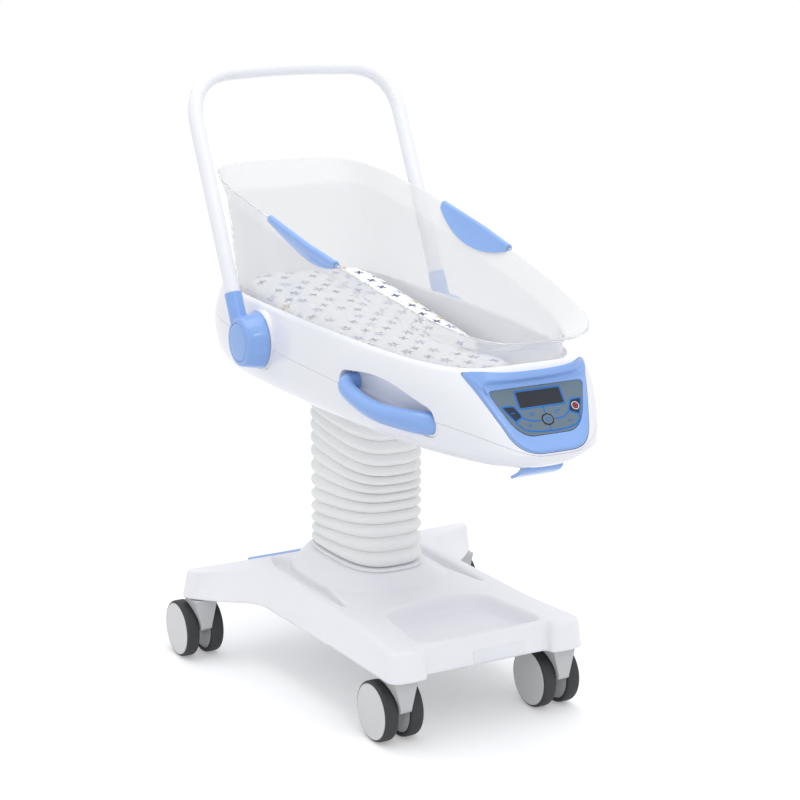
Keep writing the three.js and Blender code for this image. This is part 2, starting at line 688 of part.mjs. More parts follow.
function hullSection(z) {
  const bulge = (z - HULL_BELT) / (HULL_CREST - HULL_BELT);
  const under = Math.max(0, BILGE_TOP - z) / (BILGE_TOP - HULL_BOTTOM);
  const tuck = BILGE_INSET * (1 - Math.sqrt(Math.max(0, 1 - under * under)));
  return {
    half: HULL_HALF - CREST_INSET * bulge * bulge - tuck,
    front: CONSOLE_FOOT.y + (z - CONSOLE_FOOT.z) * consoleRun * (z > CONSOLE_FOOT.z ? 1 : -0.2) + tuck,
    rear: HULL_REAR - CREST_INSET_REAR * bulge * bulge - tuck,
  };
}

// How square the hull's front half is at a height: round at the keel, square at the rim.
function bowPower(z) {
  const share = THREE.MathUtils.clamp((z - HULL_BOTTOM) / (BOW_TOP - HULL_BOTTOM), 0, 1);
  return THREE.MathUtils.lerp(BOW_POWER, HULL_POWER, share);
}

// One ring of the hull. level(v, x) gives the height, with v from -1 (front) to 1 (rear), x from 0 to 1.
function hullRing(level, inset = 0) {
  return Array.from({ length: RING }, (_, i) => {
    const [across, along] = squarePoint(i / RING, HULL_POWER, HULL_POWER);
    const z = level(along, Math.abs(across));
    const [u, v] = squarePoint(i / RING, bowPower(z), HULL_POWER);
    const { half, front, rear } = hullSection(z);
    const x = (half - inset) * u * (1 + FRONT_TAPER * Math.min(v, 0));
    const y = (front + rear) / 2 + ((rear - front) / 2 - inset) * v;
    return new THREE.Vector3(x, y, z);
  });
}

// The Y of the hull's front at a given X and height.
function hullFront(x, z) {
  const { half, front, rear } = hullSection(z);
  const share = Math.min(1, Math.abs(x) / (half * (1 - FRONT_TAPER)));
  const power = bowPower(z);
  return (front + rear) / 2 - ((rear - front) / 2) * (1 - share ** power) ** (1 / power);
}

const crestLevel = (v) => HULL_CREST + CREST_RISE * v;
const partLevel = (v, x) => {
  const dip = v < 0 ? PART_DIP * (1 - THREE.MathUtils.smoothstep(x, 0.15, 1)) : 0;
  return PART_HEIGHT + PART_RISE * v - dip;
};
const between = (low, high, share) => (v, x) => THREE.MathUtils.lerp(low(v, x), high(v, x), share);
const shifted = (level, amount) => (v, x) => level(v, x) + amount;
const trayFloor = (lift) => (y) => TRAY_FLOOR + TRAY_SLOPE * y + lift;
const tubFillet = grown(TUB_FLOOR, 3);
const trayBottom = grown(tubFillet, TRAY_GAP);
const trayTop = { ...grown(TUB_SHOULDER, TRAY_GAP - 2), rear: TUB_FLOOR.rear + 16, taper: TUB_FLOOR.taper };
const crestHeight = (lift) => (y) => {
  const { front, rear } = hullSection(HULL_CREST);
  return HULL_CREST + CREST_RISE * ((2 * y - front - rear) / (rear - front)) + lift;
};

// Upper shell: floor of the tray, its wall, the rolled rim and the outer side down to the parting line.
function upperShellSkin() {
  const edge = 7;
  return loft([
    planRing(grown(trayBottom, WALL - 5), trayFloor(-WALL)),
    planRing(grown(trayBottom, WALL), trayFloor(5 - WALL)),
    planRing(grown(trayTop, WALL), crestHeight(-WALL - edge)),
    hullRing(shifted(crestLevel, -WALL - edge), WALL),
    hullRing(shifted(partLevel, SEAT_GAP), WALL),
    hullRing(shifted(partLevel, SEAT_GAP)),
    hullRing(between(partLevel, crestLevel, 0.45)),
    hullRing(shifted(crestLevel, -edge)),
    hullRing(shifted(crestLevel, -2), 2),
    hullRing(crestLevel, 6),
    planRing(trayTop, crestHeight(-3)),
    planRing(trayBottom, trayFloor(6)),
    planRing(grown(trayBottom, -6), trayFloor(0)),
  ]);
}

// Lower shell: the underside, rounded up to the parting line.
function lowerShellSkin() {
  const bottom = () => HULL_BOTTOM;
  return loft([
    hullRing(bottom),
    hullRing(() => HULL_BOTTOM + 5),
    hullRing((v, x) => Math.min(BILGE_TOP - 14, partLevel(v, x) - 6)),
    hullRing(between(() => BILGE_TOP - 10, partLevel, 0.5)),
    hullRing(partLevel),
    hullRing(partLevel, WALL),
    hullRing((v, x) => Math.min(BILGE_TOP - 12, partLevel(v, x) - 4), WALL),
    hullRing(() => HULL_BOTTOM + WALL, WALL + 2),
  ]);
}

// The hull without hollows, from the bilge to the rim, for pieces that follow its surface.
function hullBlock(inset = 0) {
  const levels = [BILGE_TOP, HULL_BELT, HULL_CREST - 8];
  return loft(levels.map((level) => hullRing(() => level, inset)));
}

// The X of the hull's side at a given Y and height.
function hullSide(y, z) {
  const { half, front, rear } = hullSection(z);
  const v = (2 * y - front - rear) / (rear - front);
  const power = v < 0 ? bowPower(z) : HULL_POWER;
  return half * (1 + FRONT_TAPER * Math.min(v, 0)) * (1 - Math.abs(v) ** power) ** (1 / power);
}

const sideSpan = (side, inner, outer) => (side < 0 ? [-outer, -inner] : [inner, outer]);

// Room for a grip in the hull's side: an arched oblong that drops towards the front, to an even depth.
function gripPocket(side, grow, depth) {
  const { front, rear, foot, height, arch, slant, corner } = GRIP_POCKET;
  const radius = corner + grow;
  const outline = roundedShape([
    [front - grow, foot - slant - grow, radius], [rear + grow, foot - grow, radius],
    [rear + grow, foot + height + grow, radius],
    [(front + rear) / 2, foot + height + arch - slant / 2 + grow, (rear - front) / 3],
    [front - grow, foot - slant + height + grow, radius],
  ]);
  const room = crossSlab(outline, ...sideSpan(side, HULL_HALF / 2, HULL_HALF + 40), 0, grow ? 2 : 3);
  return cut(room, hullBlock(depth));
}

function hubBoss(side, grow) {
  const span = sideSpan(side, HULL_HALF - 18, BOSS_FACE + grow);
  return rodX(BOSS_RADIUS + grow, ...span, HANDLE_AXIS.y, HANDLE_AXIS.z, 18);
}

// Front console: bezel, panel, display and keys, in the plane of the raked front
const frontPanel = new THREE.Group();
frontPanel.position.set(0, CONSOLE_FOOT.y, CONSOLE_FOOT.z);
frontPanel.rotation.x = Math.PI / 2 - THREE.MathUtils.degToRad(CONSOLE_RAKE);
assembly.add(frontPanel);
frontPanel.updateMatrixWorld();

const shield = (grow) => mirrored([
  [BEZEL_BOTTOM_HALF + grow, BEZEL_FOOT - grow, 34],
  [BEZEL_TOP_HALF + grow, BEZEL_HEIGHT + BEZEL_EAR + grow, 12], [45, BEZEL_HEIGHT + grow, 40],
]);
const panelShape = (grow) => mirrored([
  [42 + grow, 34 - grow, 14], [62 + grow, 53, 20], [85 + grow, 113 + grow, 10],
]);

// A ring of an outline on the hull's raked front, with its height kept and raised from the surface.
function surfaceRing(shape, raised) {
  const rake = THREE.MathUtils.degToRad(CONSOLE_RAKE);
  return outlineRing(shape, raised).map((p) => {
    const { z } = frontPanel.localToWorld(new THREE.Vector3(p.x, p.y, 0));
    const behind = hullFront(p.x, z) - hullFront(0, z);
    return new THREE.Vector3(p.x, p.y + behind * Math.sin(rake), p.z - behind * Math.cos(rake));
  });
}

function outlineRing(shape, depth) {
  const count = 36;
  const points = shape.getSpacedPoints(count).slice(0, count);
  return points.map((p) => new THREE.Vector3(p.x, p.y, depth(p)));
}

function bezel() {
  const rise = (p) => THREE.MathUtils.smoothstep(p.y, BEZEL_HEIGHT - 22, BEZEL_HEIGHT - 6);
  const side = (p) => THREE.MathUtils.smoothstep(Math.abs(p.x), BEZEL_TOP_HALF - 32, BEZEL_TOP_HALF);
  const hood = (p) => BEZEL_LIP + BEZEL_HOOD * rise(p) * (1 - 0.6 * side(p));
  const recess = -PANEL_SINK - PANEL_THICKNESS - KEY_TRAVEL - SEAT_GAP;
  return loft([
    surfaceRing(shield(-2), () => -BEZEL_DEPTH - PANEL_SINK),
    surfaceRing(shield(0), () => 1 - BEZEL_DEPTH),
    surfaceRing(shield(0), () => 0),
    surfaceRing(shield(-2), hood),
    surfaceRing(shield(-7), hood),
    outlineRing(panelShape(3), () => -PANEL_SINK + 0.6),
    outlineRing(panelShape(2 * SEAT_GAP), () => -PANEL_SINK),
    outlineRing(panelShape(2 * SEAT_GAP), () => recess),
  ]);
}

const displayShape = (grow) => rectangle(
  DISPLAY.x - DISPLAY.width / 2 - grow, DISPLAY.x + DISPLAY.width / 2 + grow,
  DISPLAY.y - DISPLAY.height / 2 - grow, DISPLAY.y + DISPLAY.height / 2 + grow, 2,
);
const KEY_SHAPES = {
  key_left: (grow) => roundedShape([
    [-68 - grow, 84 + grow, 3], [-50 + grow, 83 + grow, 3],
    [-42 + grow, 67 - grow, 3], [-54 - grow, 61 - grow, 3],
  ]),
  key_right: (grow) => roundedShape([
    [69 + grow, 83 + grow, 3], [52 - grow, 82 + grow, 3],
    [44 - grow, 67 - grow, 3], [58 + grow, 60 - grow, 3],
  ]),
  key_centre: (grow) => {
    const ring = new THREE.Shape();
    return ring.absellipse(1, 57, 11 + grow, 10 + grow, 0, 2 * Math.PI);
  },
};

place('front_bezel', bezel(), BLUE, frontPanel);
const panelBack = -PANEL_SINK - PANEL_THICKNESS;
const panelHoles = Object.values(KEY_SHAPES).map((shape) => slab(shape(SEAT_GAP), panelBack - 1, 3));
const displayPocket = slab(displayShape(SEAT_GAP), -PANEL_SINK - 1, 3);
const panelPlate = loft([panelBack, -PANEL_SINK].map((depth) => outlineRing(panelShape(0), () => depth)));
place('control_panel', cut(panelPlate, ...panelHoles, displayPocket), PANEL_GREY, frontPanel);
const displayPane = slab(displayShape(0), -PANEL_SINK - 1 + SEAT_GAP, -PANEL_SINK + 0.2);
place('display_window', displayPane, DISPLAY_DARK, frontPanel);
for (const [name, shape] of Object.entries(KEY_SHAPES)) {
  place(name, slab(shape(0), panelBack, -PANEL_SINK + KEY_PROUD), KEY_DARK, frontPanel);
}

// Deck shells with their cut-outs
const bezelSeat = -BEZEL_DEPTH - PANEL_SINK - 1;
const bezelWindow = loft([bezelSeat, 60].map((depth) => surfaceRing(shield(1), () => depth)))
  .applyMatrix4(frontPanel.matrixWorld);

function upperShell() {
  const { wall, depth } = GRIP_POCKET;
  const lining = [-1, 1].map((side) => common(hullBlock(WALL / 3), gripPocket(side, wall, depth + wall)));
  const pockets = [-1, 1].map((side) => gripPocket(side, 0, depth));
  const bosses = [-1, 1].map((side) => hubBoss(side, 0));
  const spigots = [-1, 1].map((side) => {
    const span = sideSpan(side, BOSS_FACE - 14, BOSS_FACE + 5);
    return rodX(HUB_SPIGOT_RADIUS + RUN_GAP + 0.2, ...span, HANDLE_AXIS.y, HANDLE_AXIS.z);
  });
  const shell = join(cut(upperShellSkin(), bezelWindow), ...lining, ...bosses);
  return cut(shell, ...pockets, ...spigots);
}

const leverPinHalf = LEVER_HALF + LEVER_EAR;
const leverBoreHalf = leverPinHalf + BORE_OVERRUN;
const leverRod = (radius, half) => rodX(radius, -half, half, LEVER_PIVOT.y, LEVER_PIVOT.z);
const openingOutline = rectangle(-52, 52, COLUMN_Y - 78, COLUMN_Y + 78, 12);
const bottomOpening = slab(openingOutline, HULL_BOTTOM - 5, HULL_BOTTOM + 12);

function lowerShell() {
  const { wall, depth } = GRIP_POCKET;
  const notches = [-1, 1].flatMap((side) => [
    gripPocket(side, wall + SEAT_GAP, depth + wall + SEAT_GAP), hubBoss(side, SEAT_GAP),
  ]);
  const ears = [-1, 1].map((side) => crossSlab(
    rectangle(LEVER_PIVOT.y - 8, LEVER_PIVOT.y + 8, HULL_BOTTOM + WALL - 1, LEVER_PIVOT.z + 8, 4),
    ...sideSpan(side, LEVER_HALF + 1.5, leverPinHalf),
  ));
  const leverSlot = block(
    -LEVER_HALF - 1, LEVER_HALF + 1, LEVER_PIVOT.y - 26, LEVER_PIVOT.y + 22,
    HULL_BOTTOM - 5, LEVER_PIVOT.z + 6,
  );
  const pinBore = leverRod(LEVER_PIN_RADIUS + SEAT_GAP, leverBoreHalf);
  return cut(join(lowerShellSkin(), ...ears), ...notches, bottomOpening, leverSlot, pinBore, bezelWindow);
}

place('upper_shell', upperShell(), WHITE);
place('lower_shell', lowerShell(), WHITE);

// Tilt frame: steel plate in the hull's floor, with lugs on the tilt pin
function tiltFrame() {
  const low = HULL_BOTTOM + WALL + SEAT_GAP;
  const plate = slab(rectangle(
    -FRAME_PLATE.half, FRAME_PLATE.half, COLUMN_Y - FRAME_PLATE.length, COLUMN_Y + FRAME_PLATE.length, 18,
  ), low, low + FRAME_THICKNESS, 0, 2);
  const room = rectangle(-FRAME_LUG.x + 2, FRAME_LUG.x - 2, COLUMN_Y - 62, COLUMN_Y + 62, 8);
  const opening = slab(room, low - 1, low + FRAME_THICKNESS + 1, 0, 2);
  const lugSide = roundedShape([
    [COLUMN_Y - 45, low + 1], [COLUMN_Y + 45, low + 1],
    [COLUMN_Y + FRAME_LUG.half, TILT_PIN.z + 15, 14], [COLUMN_Y - FRAME_LUG.half, TILT_PIN.z + 15, 14],
  ]);
  const lugOuter = FRAME_LUG.x + FRAME_LUG.thickness;
  const lugs = [-1, 1].map((side) => crossSlab(lugSide, ...sideSpan(side, FRAME_LUG.x, lugOuter), 0, 3));
  const bore = rodX(TILT_PIN.radius + RUN_GAP, -tiltBoreHalf, tiltBoreHalf, COLUMN_Y, TILT_PIN.z);
  return cut(join(cut(plate, opening), ...lugs), bore);
}

place('tilt_frame', tiltFrame(), STEEL);

// Side grips: bowed bars over the pockets in the hull
function sideGrip(side) {
  const { front, rear, foot, height, slant, depth } = GRIP_POCKET;
  const run = rear - front;
  const steps = [
    [rear - 18, -depth - 12, 4], [rear - 19, -6, 3], [rear - 44, GRIP_STANDOFF / 2, -4],
    [(front + rear) / 2, GRIP_STANDOFF, -10],
    [front + 44, 3, -5], [front + 20, -14, -1], [front + 18, -depth - 18, 0],
  ];
  const path = new THREE.CatmullRomCurve3(steps.map(([y, standoff, rise]) => {
    const z = foot + height / 2 - (slant * (rear - y)) / run + rise;
    return new THREE.Vector3(side * (hullSide(y, z) + standoff), y, z);
  }));
  const grip = bar(path, evenly(0, 1, 12), GRIP_RADIUS, 9, new THREE.Vector3(0, 0, 1));
  return cut(grip, hullBlock(depth - SEAT_GAP));
}

place('side_grip_left', sideGrip(-1), BLUE);
place('side_grip_right', sideGrip(1), BLUE);

// Tilt lever: curved paddle on a pin between the ears of the lower shell
function tiltLever() {
  const { y, z } = LEVER_PIVOT;
  const side = roundedShape([
    [y - 7, z - 4, 5], [y - 12, z - 16, 8], [y - 6, z - 30, 14], [y + 20, z - 43, 4], [y + 23, z - 39, 2],
    [y - 6 + LEVER_THICKNESS, z - 26, 14], [y - 12 + LEVER_THICKNESS, z - 14, 8],
    [y + 7, z - 4, 5], [y + 7, z + 7, 6], [y - 7, z + 7, 6],
  ]);
  const paddle = crossSlab(side, -LEVER_HALF, LEVER_HALF, 0, 3);
  return cut(paddle, leverRod(LEVER_PIN_RADIUS + RUN_GAP, leverBoreHalf));
}

place('tilt_lever', tiltLever(), BLUE);
place('lever_pin', leverRod(LEVER_PIN_RADIUS, leverPinHalf), STEEL);

// Push handle: hubs with sleeves and push buttons, and the bent tube
const lean = THREE.MathUtils.degToRad(HANDLE_LEAN);
const handleFrame = new THREE.Group();
handleFrame.position.set(0, HANDLE_AXIS.y, HANDLE_AXIS.z);
handleFrame.rotation.x = -lean;
assembly.add(handleFrame);

function handleHub(side) {
  const face = BOSS_FACE + RUN_GAP;
  const outer = face + HUB_DEPTH;
  const drum = turnedX([
    [0, face - 12], [HUB_SPIGOT_RADIUS, face - 12], [HUB_SPIGOT_RADIUS, face], [HUB_INNER_RADIUS, face],
    [HUB_INNER_RADIUS, face + 5], [HUB_OUTER_RADIUS + 3, outer - 3], [HUB_OUTER_RADIUS, outer], [0, outer],
  ], 24);
  const sleeve = rodZ(SLEEVE_RADIUS, 0, SLEEVE_END, HANDLE_X, SLEEVE_OFFSET, 16);
  const seat = outer - BUTTON_THICKNESS - BUTTON_TRAVEL;
  const buttonBore = rodX(BUTTON_RADIUS + RUN_GAP, seat, outer + 5, 0, 0, 20);
  const tubeRadius = HANDLE_TUBE_RADIUS + SEAT_GAP;
  const tubeBore = rodZ(tubeRadius, SLEEVE_END - SLEEVE_GRASP, SLEEVE_END + 5, HANDLE_X, SLEEVE_OFFSET, 16);
  const button = turnedX([
    [0, seat + BUTTON_TRAVEL], [BUTTON_RADIUS, seat + BUTTON_TRAVEL], [BUTTON_RADIUS, outer - 0.6],
    [BUTTON_RADIUS - 1.5, outer + 0.6], [0, outer + 1],
  ], 20);
  const solid = cut(join(drum, sleeve), buttonBore, tubeBore);
  return [solid, button].map((geometry) => (side < 0 ? mirrorImage(weld(geometry)) : weld(geometry)));
}

// The left-hand copy of a right-hand solid, with its faces turned outwards again.
function mirrorImage(geometry) {
  geometry.applyMatrix4(new THREE.Matrix4().makeScale(-1, 1, 1));
  const index = geometry.getIndex().array;
  for (let i = 0; i < index.length; i += 3) [index[i], index[i + 1]] = [index[i + 1], index[i]];
  return geometry;
}

for (const [side, word] of [[-1, 'left'], [1, 'right']]) {
  const [hub, button] = handleHub(side);
  place(`handle_hub_${word}`, hub, BLUE, handleFrame);
  place(`hub_button_${word}`, button, BLUE, handleFrame);
}

function handleTube() {
  const foot = SLEEVE_END - SLEEVE_GRASP + SEAT_GAP;
  const turnStart = HANDLE_REACH - HANDLE_BEND;
  const corner = HANDLE_X - HANDLE_BEND;
  const path = new THREE.CurvePath();
  const at = (x, z) => new THREE.Vector3(x, SLEEVE_OFFSET, z);
  path.add(new THREE.LineCurve3(at(-HANDLE_X, foot), at(-HANDLE_X, turnStart)));
  const top = HANDLE_REACH;
  const bends = [
    [at(-HANDLE_X, turnStart), at(-HANDLE_X, top), at(-corner, top)],
    [at(-corner, top), at(0, top + HANDLE_BOW), at(corner, top)],
    [at(corner, top), at(HANDLE_X, top), at(HANDLE_X, turnStart)],
  ];
  bends.forEach((points) => path.add(new THREE.QuadraticBezierCurve3(...points)));
  path.add(new THREE.LineCurve3(at(HANDLE_X, turnStart), at(HANDLE_X, foot)));
  const lengths = path.getCurveLengths();
  const total = lengths.at(-1);
  const [legEnd, bendEnd, bowEnd, nextBendEnd] = lengths.map((length) => length / total);
  const shares = [
    0, ...evenly(legEnd, bendEnd, 6), ...evenly(bendEnd, bowEnd, 4).slice(1),
    ...evenly(bowEnd, nextBendEnd, 6).slice(1), 1,
  ];
  return bar(path, shares, HANDLE_TUBE_RADIUS, 12, new THREE.Vector3(0, 1, 0));
}

place('handle_tube', handleTube(), LACQUERED_STEEL, handleFrame);

// Tub: clear shell with a flared lip, and its two grips
const rimHeight = (lift) => (y) =>
  TUB_RIM + RIM_SLOPE * y - RIM_DROOP.rate * Math.max(0, y - RIM_DROOP.start) ** 2 + lift;
const tubFloor = (lift) => trayFloor(SEAT_GAP + lift);

function tub() {
  const bead = TUB_BEAD;
  return loft([
    planRing(grown(TUB_FLOOR, -5), tubFloor(0)),
    planRing(tubFillet, tubFloor(6)),
    planRing(TUB_SHOULDER, rimHeight(-TUB_LIP_HEIGHT)),
    planRing(grown(TUB_LIP, -1), rimHeight(-bead)),
    planRing(TUB_LIP, rimHeight(-bead / 2)),
    planRing(grown(TUB_LIP, -1), rimHeight(0)),
    planRing(grown(TUB_LIP, -TUB_WALL), rimHeight(0)),
    planRing(grown(TUB_SHOULDER, -TUB_WALL), rimHeight(-TUB_LIP_HEIGHT + 1)),
    planRing(grown(tubFillet, -TUB_WALL), tubFloor(TUB_WALL + 5)),
    planRing(grown(TUB_FLOOR, -TUB_WALL - 5), tubFloor(TUB_WALL)),
  ]);
}

place('tub', tub(), ACRYLIC);

// Half width of an outline at a given Y.
function halfAt({ half, front, rear, taper, rearPower = TUB_REAR_POWER }, y) {
  const v = (2 * y - front - rear) / (rear - front);
  const square = v < 0 ? TUB_POWER : rearPower;
  return half * (1 + taper * Math.min(v, 0)) * (1 - Math.abs(v) ** square) ** (1 / square);
}

// A crescent clip over the rim: its skirts follow the lip inside and out.
function tubGrip(side) {
  const stations = 10;
  const { front, rear, thickness, depth, tip, head } = TUB_GRIP;
  return loft(Array.from({ length: stations + 1 }, (_, i) => {
    const share = (2 * i) / stations - 1;
    const y = THREE.MathUtils.lerp(front, rear, i / stations);
    const drop = tip + (depth - tip) * (1 - share * share);
    const rim = halfAt(TUB_LIP, y);
    const flare = (rim - halfAt(TUB_SHOULDER, y)) / (TUB_LIP_HEIGHT - TUB_BEAD);
    const top = rimHeight(0)(y) + SEAT_GAP;
    const outside = (fall) => rim + 2 * SEAT_GAP - flare * Math.max(0, fall - 2 * TUB_BEAD);
    const inside = (fall) => rim - TUB_WALL - 4 * SEAT_GAP - flare * fall;
    const outline = [
      [outside(drop), -drop], [outside(drop) + thickness, -drop], [outside(0) + thickness, -2 * TUB_BEAD],
      [outside(0) + thickness - 2, head], [inside(0) - thickness + 2, head], [inside(0) - thickness, 0],
      [inside(drop) - thickness, -drop], [inside(drop), -drop],
      [inside(0), 0], [outside(0), 0], [outside(0), -2 * TUB_BEAD],
    ];
    return outline.map(([x, z]) => new THREE.Vector3(side * x, y, top + z));
  }), false, true);
}

place('tub_grip_left', tubGrip(-1), BLUE);
place('tub_grip_right', tubGrip(1), BLUE);

// Mattress: crowned pad with drawn-in sides
function mattress() {
  const outline = grown(TUB_FLOOR, -TUB_WALL - 5 - MATTRESS_GAP);
  const low = TUB_WALL + SEAT_GAP;
  const steps = [[-6, 0], [0, 0.1], [3, 0.4], [4, 0.7], [2, 0.87], [-4, 0.96], [-22, 1]];
  return loft(steps.map(([grow, share]) => {
    const plan = { ...grown(outline, grow), power: 5 };
    return planRing(plan, tubFloor(low + share * MATTRESS_THICKNESS));
  }));
}

place('mattress', mattress(), COTTON);

// The origin is on the floor, under the middle of the whole object.
const box = new THREE.Box3().setFromObject(assembly, true);
const middle = box.getCenter(new THREE.Vector3());
assembly.position.set(-middle.x, -middle.y, -box.min.z);

export default assembly;
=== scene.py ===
import json
import math

import bmesh
import bpy
from mathutils import Matrix, Vector


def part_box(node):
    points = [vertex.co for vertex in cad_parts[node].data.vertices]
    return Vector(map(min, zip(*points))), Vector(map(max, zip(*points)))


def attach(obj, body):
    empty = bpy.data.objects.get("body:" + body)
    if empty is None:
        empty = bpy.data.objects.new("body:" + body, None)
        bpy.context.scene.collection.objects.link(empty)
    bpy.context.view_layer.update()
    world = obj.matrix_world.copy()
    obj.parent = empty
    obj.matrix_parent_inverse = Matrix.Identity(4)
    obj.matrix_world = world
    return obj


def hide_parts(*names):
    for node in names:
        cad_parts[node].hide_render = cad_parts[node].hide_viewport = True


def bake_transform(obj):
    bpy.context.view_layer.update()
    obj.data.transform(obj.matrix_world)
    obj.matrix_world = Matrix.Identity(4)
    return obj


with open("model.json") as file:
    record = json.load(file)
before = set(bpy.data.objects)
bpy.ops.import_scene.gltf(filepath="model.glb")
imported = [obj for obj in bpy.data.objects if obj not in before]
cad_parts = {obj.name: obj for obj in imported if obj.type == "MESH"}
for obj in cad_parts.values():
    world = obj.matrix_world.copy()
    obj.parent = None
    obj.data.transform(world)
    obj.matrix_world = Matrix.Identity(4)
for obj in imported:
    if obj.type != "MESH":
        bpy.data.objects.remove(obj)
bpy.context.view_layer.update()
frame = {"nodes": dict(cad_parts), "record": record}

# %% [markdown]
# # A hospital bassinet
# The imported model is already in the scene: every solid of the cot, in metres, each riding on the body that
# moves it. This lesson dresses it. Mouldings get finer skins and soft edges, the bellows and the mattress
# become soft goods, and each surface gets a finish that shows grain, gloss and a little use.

MM = 0.001
column_low, column_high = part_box("column_outer")
COLUMN_Y = 100.0
SHIFT = (column_low[1] + column_high[1]) / 2 - COLUMN_Y * MM
scene = bpy.context.scene
scene.view_settings.view_transform = "Standard"


# %% [markdown]
# ## Camera
# A product photograph is taken from far away with a long lens, so that the object keeps its proportions.
# The angle, the distance and the lens were fitted to the cot's casters, tub rim and handle.

# %% Camera at the photograph's angle
AZIMUTH = math.radians(-29.6)
ELEVATION = math.radians(13.8)
DISTANCE = 3.52
TARGET = Vector((0.0127, SHIFT, 0.4827))
FOCAL_PIXELS = 2085.0
FRAME_PIXELS = 800.0

backwards = Vector((
    math.sin(AZIMUTH) * math.cos(ELEVATION),
    -math.cos(AZIMUTH) * math.cos(ELEVATION),
    math.sin(ELEVATION),
))
camera = bpy.data.objects.new("camera", bpy.data.cameras.new("camera"))
scene.collection.objects.link(camera)
camera.location = TARGET + backwards * DISTANCE
camera.rotation_euler = backwards.to_track_quat("Z", "Y").to_euler()
camera.data.sensor_width = 36.0
camera.data.lens = FOCAL_PIXELS / FRAME_PIXELS * camera.data.sensor_width
scene.camera = camera
print("lens", round(camera.data.lens, 1), "mm")


# %% [markdown]
# ## Node helpers
# A material is a small graph. Two helpers keep the graphs readable: one adds a node with its settings, the
# other joins an output to an input. Colours are written as they look on a screen and turned to linear light.

# %% Node helpers
def linear(red, green, blue):
    """A screen colour of 0 to 255 as linear light, with full alpha."""
    def channel(value):
        value /= 255
        return value / 12.92 if value <= 0.04045 else ((value + 0.055) / 1.055) ** 2.4
    return (channel(red), channel(green), channel(blue), 1.0)


def add(tree, kind, inputs=None, **settings):
    """A node of a kind, with its settings and with inputs that are numbers or sockets."""
    node = tree.nodes.new(kind)
    for key, value in settings.items():
        setattr(node, key, value)
    for key, value in (inputs or {}).items():
        if isinstance(value, bpy.types.NodeSocket):
            tree.links.new(value, node.inputs[key])
        else:
            node.inputs[key].default_value = value
    return node


def maths(tree, operation, *values, clamp=False):
    """The output of a Math node on sockets or numbers."""
    node = add(tree, "ShaderNodeMath", dict(enumerate(values)), operation=operation, use_clamp=clamp)
    return node.outputs[0]


def effect_group(name, inputs, outputs):
    """An empty shader group with float inputs and the given outputs."""
    tree = bpy.data.node_groups.new(name, "ShaderNodeTree")
    for label, value in inputs.items():
        socket = tree.interface.new_socket(label, in_out="INPUT", socket_type="NodeSocketFloat")
        socket.default_value = value
    for label, kind in outputs.items():
        tree.interface.new_socket(label, in_out="OUTPUT", socket_type="NodeSocket" + kind)
    return tree, tree.nodes.new("NodeGroupInput"), tree.nodes.new("NodeGroupOutput")


def use(tree, group, **values):
    """A group placed in a material with its own values."""
    node = add(tree, "ShaderNodeGroup", node_tree=group)
    for label, value in values.items():
        node.inputs[label.replace("_", " ")].default_value = value
    return node


# %% [markdown]
# ## Effects that several finishes share
# Injection moulding leaves a fine grain that breaks up the gloss. Hands and cloths leave faint, broad
# patches. Edges are rubbed a little brighter, and moulded edges are never sharp: the Bevel node rounds the
# light on them without more mesh. Each effect is a group, so that a finish only chooses its amounts.

# %% Moulded grain
def make_grain():
    tree, given, out = effect_group(
        "moulded_grain", {"Scale": 900.0, "Patch": 9.0}, {"Height": "Float", "Patches": "Float"},
    )
    place = add(tree, "ShaderNodeTexCoord").outputs["Object"]
    fine = add(tree, "ShaderNodeTexNoise", {"Vector": place, "Scale": given.outputs["Scale"], "Detail": 2.0})
    broad = add(tree, "ShaderNodeTexNoise", {"Vector": place, "Scale": given.outputs["Patch"], "Detail": 4.0})
    spread = add(tree, "ShaderNodeMapRange", {"Value": broad.outputs["Fac"], "From Min": 0.35, "From Max": 0.65})
    tree.links.new(fine.outputs["Fac"], out.inputs["Height"])
    tree.links.new(spread.outputs["Result"], out.inputs["Patches"])
    return tree


def make_edges():
    tree, given, out = effect_group(
        "soft_edges", {"Radius": 0.0012, "Rub": 6.0}, {"Normal": "Vector", "Rubbed": "Float"},
    )
    rounded = add(tree, "ShaderNodeBevel", {"Radius": given.outputs["Radius"]}, samples=4)
    true = add(tree, "ShaderNodeNewGeometry").outputs["Normal"]
    agree = add(tree, "ShaderNodeVectorMath", {0: rounded.outputs["Normal"], 1: true}, operation="DOT_PRODUCT")
    turned = maths(tree, "SUBTRACT", 1.0, agree.outputs["Value"])
    place = add(tree, "ShaderNodeTexCoord").outputs["Object"]
    worn = add(tree, "ShaderNodeTexNoise", {"Vector": place, "Scale": 60.0, "Detail": 3.0})
    amount = maths(tree, "MULTIPLY", turned, maths(tree, "MULTIPLY", worn.outputs["Fac"], given.outputs["Rub"]))
    clamped = add(tree, "ShaderNodeClamp", {"Value": amount})
    tree.links.new(rounded.outputs["Normal"], out.inputs["Normal"])
    tree.links.new(clamped.outputs["Result"], out.inputs["Rubbed"])
    return tree


GRAIN = make_grain()
EDGES = make_edges()
print("effects", [g.name for g in bpy.data.node_groups])


# %% [markdown]
# ## Finishes
# Most of the cot is moulded plastic in three colours. One function writes that finish: the colour drifts a
# little from patch to patch, edges are rubbed paler, the gloss varies, and the grain is a shallow bump.

# %% A plastic or lacquer finish
MATERIALS = {}


